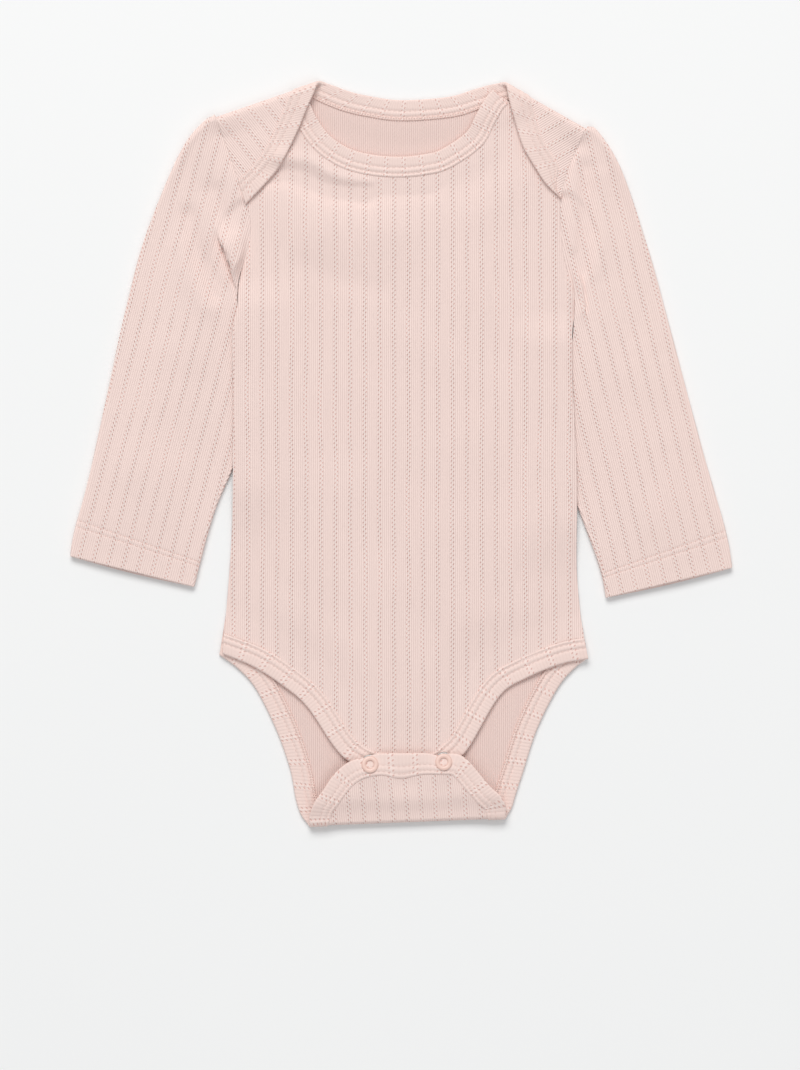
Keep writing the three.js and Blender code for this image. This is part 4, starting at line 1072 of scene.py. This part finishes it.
def make_scene():
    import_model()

    outside = knit("pointelle_knit")
    inside = knit("knit_wrong_side", holes=0.12, wales=1.1, colour=INSIDE_PINK)
    neck_strip = knit("neck_binding_knit", holes=0.8, wales=0.55, colour=BAND_PINK)
    leg_strip = knit("leg_binding_knit", holes=0.8, wales=0.45, colour=BAND_PINK)
    thread = thread_finish("sewing_thread", THREAD_PINK)
    looper = thread_finish("looper_thread", LOOPER_PINK)
    enamel, nickel = cap_finish(), metal_finish()

    front = wall("front_knit", front_grids(), [outside, inside])
    back = wall("back_knit", back_grids(), [inside, outside])
    sleeves, cuff_rings = {}, {}
    for side in SIDES:
        grids, cuff_rings[side] = sleeve_grids(side)
        sleeves[side] = wall(f"sleeve_{side}_knit", grids, [outside, inside])
    strips = {
        "front_neck": (front_neck_stations, on_front, neck_strip, NECK_STRETCH),
        "back_neck": (back_neck_stations, on_back, neck_strip, NECK_STRETCH),
        "front_leg": (front_leg_stations, on_front, leg_strip, LEG_STRETCH),
        "back_leg": (back_leg_stations, on_back, leg_strip, LEG_STRETCH),
    }
    bindings, rows = {}, {}
    for place, (stations, on_cloth, material, stretch) in strips.items():
        made = strip_grid(stations, on_cloth, stretch)
        bindings[place] = wall(f"{place}_binding_knit", [made], [material, material])
        sewn = [strip_row(stations, on_cloth, inward, face) for inward in STITCH_ROWS for face in (1, -1)]
        inner_face = -1 if place.startswith("front") else 1
        chained = [strip_row(stations, on_cloth, inward, inner_face) for inward in CHAIN_ROWS]
        rows[f"{place}_binding"] = [
            stitches(f"{place}_stitches", sewn, thread),
            stitches(f"{place}_chain_stitches", chained, looper, length=1.3, gap=0.2, thread=0.36),
        ]
    for side, ring in cuff_rings.items():
        lines = []
        for row in CUFF_ROWS:
            k = int(np.argmin(abs(ring["from_cuff"] - row)))
            lines.append((ring["spot"][k] + ring["facing"][k] * (CLOTH / 2 - 0.02), ring["facing"][k]))
        sewn = stitches(f"cuff_{side}_stitches", lines, looper, length=1.9, gap=0.8, thread=0.24)
        rows[f"sleeve_{side}"] = [sewn]

    snaps = {}
    for side, (x, y) in SNAP_PLACES.items():
        boxes = {part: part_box(f"snap_{side}_{part}") for part in ("cap", "socket", "stud", "back_ring")}
        low = {part: box[0].z / MM for part, box in boxes.items()}
        knob = boxes["stud"][1].z / MM - low["stud"]
        stud = [*STUD, (1.6, knob - 0.2), (1.2, knob), (0.01, knob)]
        for part, ending, profile, at, material, tilt in (
            ("cap", "ring", round_ring(*CAP_RING), (x, y, low["cap"] - 0.35), enamel, CAP_TILT),
            ("socket", "plate", SOCKET, (x, y + 0.6, low["socket"]), nickel, SOCKET_TILT),
            ("stud", "plate", stud, (x, y + 0.9, low["stud"]), nickel, STUD_TILT),
            ("back_ring", "plate", round_ring(*BACK_RING), (x, y, low["back_ring"]), nickel, 0),
        ):
            node = f"snap_{side}_{part}"
            snaps[node] = turned_piece(f"{node}_{ending}", profile, at, material, tilt)

    # Which CAD node each piece stands for, how it rides and the cloth it was cut from
    for piece, node, cut, area, under in (
        (front, "front", (0.208, 0.376), 0.0617, ["back_knit"]),
        (back, "back", (0.214, 0.530), 0.0775, ["sleeve_left_knit", "sleeve_right_knit"]),
        (sleeves["left"], "sleeve_left", (0.215, 0.275), 0.0405, []),
        (sleeves["right"], "sleeve_right", (0.215, 0.275), 0.0385, []),
        (bindings["front_neck"], "front_neck_binding", (0.026, 0.185), None, ["front_knit"]),
        (bindings["back_neck"], "back_neck_binding", (0.026, 0.31), None, ["back_knit"]),
        (bindings["front_leg"], "front_leg_binding", (0.026, 0.31), None, ["front_knit"]),
        (bindings["back_leg"], "back_leg_binding", (0.026, 0.44), None, ["back_knit"]),
    ):
        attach(piece, "root")
        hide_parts(node)
        going = rows.get(node, [])
        for other in going:
            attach(other, "root")
    for node, piece in snaps.items():
        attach(piece, "root")
        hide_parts(node)

    table_and_light()


# The table and the light, in metres, and a camera straight above that takes in as much as the photo
TABLE_WHITE, SHADED_WHITE = (0.90, 0.905, 0.90), (0.885, 0.89, 0.89)
ROOM_LIGHT, ROOM_POWER = (0.97, 0.985, 1.0, 1), 0.45
CAMERA_AT, CAMERA_AWAY, SEEN_HEIGHT = (-0.0007, -0.0466, 2.405), 2.4, 0.6176
SENSOR = 36  # the camera's, in millimetres
TABLE_TOP = -0.0004


def table_and_light():
    scene = bpy.context.scene
    bpy.ops.mesh.primitive_plane_add(size=8, location=(0, 0, TABLE_TOP))
    table = bpy.context.object
    table.name = "table_top"
    paper = Finish("white_table", Roughness=0.75, Specular_IOR_Level=0.2)
    paper.set("Base Color", paper.mix(TABLE_WHITE, SHADED_WHITE, paper.noise(300)))
    table.data.materials.append(paper.material)

    world = bpy.data.worlds.new("soft_room")
    world.use_nodes = True
    scene.world = world
    world.node_tree.nodes["Background"].inputs[0].default_value = ROOM_LIGHT
    world.node_tree.nodes["Background"].inputs[1].default_value = ROOM_POWER

    def lamp(name, place, size, power, colour):
        data = bpy.data.lights.new(name, "AREA")
        data.shape, data.size, data.size_y = "RECTANGLE", *size
        data.energy, data.color = power, colour
        made = bpy.data.objects.new(name, data)
        made.location = place
        scene.collection.objects.link(made)
        made.rotation_mode = "QUATERNION"
        made.rotation_quaternion = (-made.location).to_track_quat("-Z", "Y")

    lamp("window_light", (-0.5, 3.2, 3.4), (3.2, 2.2), 156, (1.0, 0.985, 0.97))
    lamp("fill_light", (0.6, -1.6, 2.6), (2.4, 1.6), 15, (0.98, 0.99, 1.0))

    camera = bpy.data.cameras.new("overhead")
    camera.lens = SENSOR * CAMERA_AWAY / SEEN_HEIGHT
    camera.clip_end = 50
    view = bpy.data.objects.new("overhead", camera)
    view.location = CAMERA_AT
    scene.collection.objects.link(view)
    scene.camera = view
    scene.view_settings.view_transform = "Standard"


make_scene()
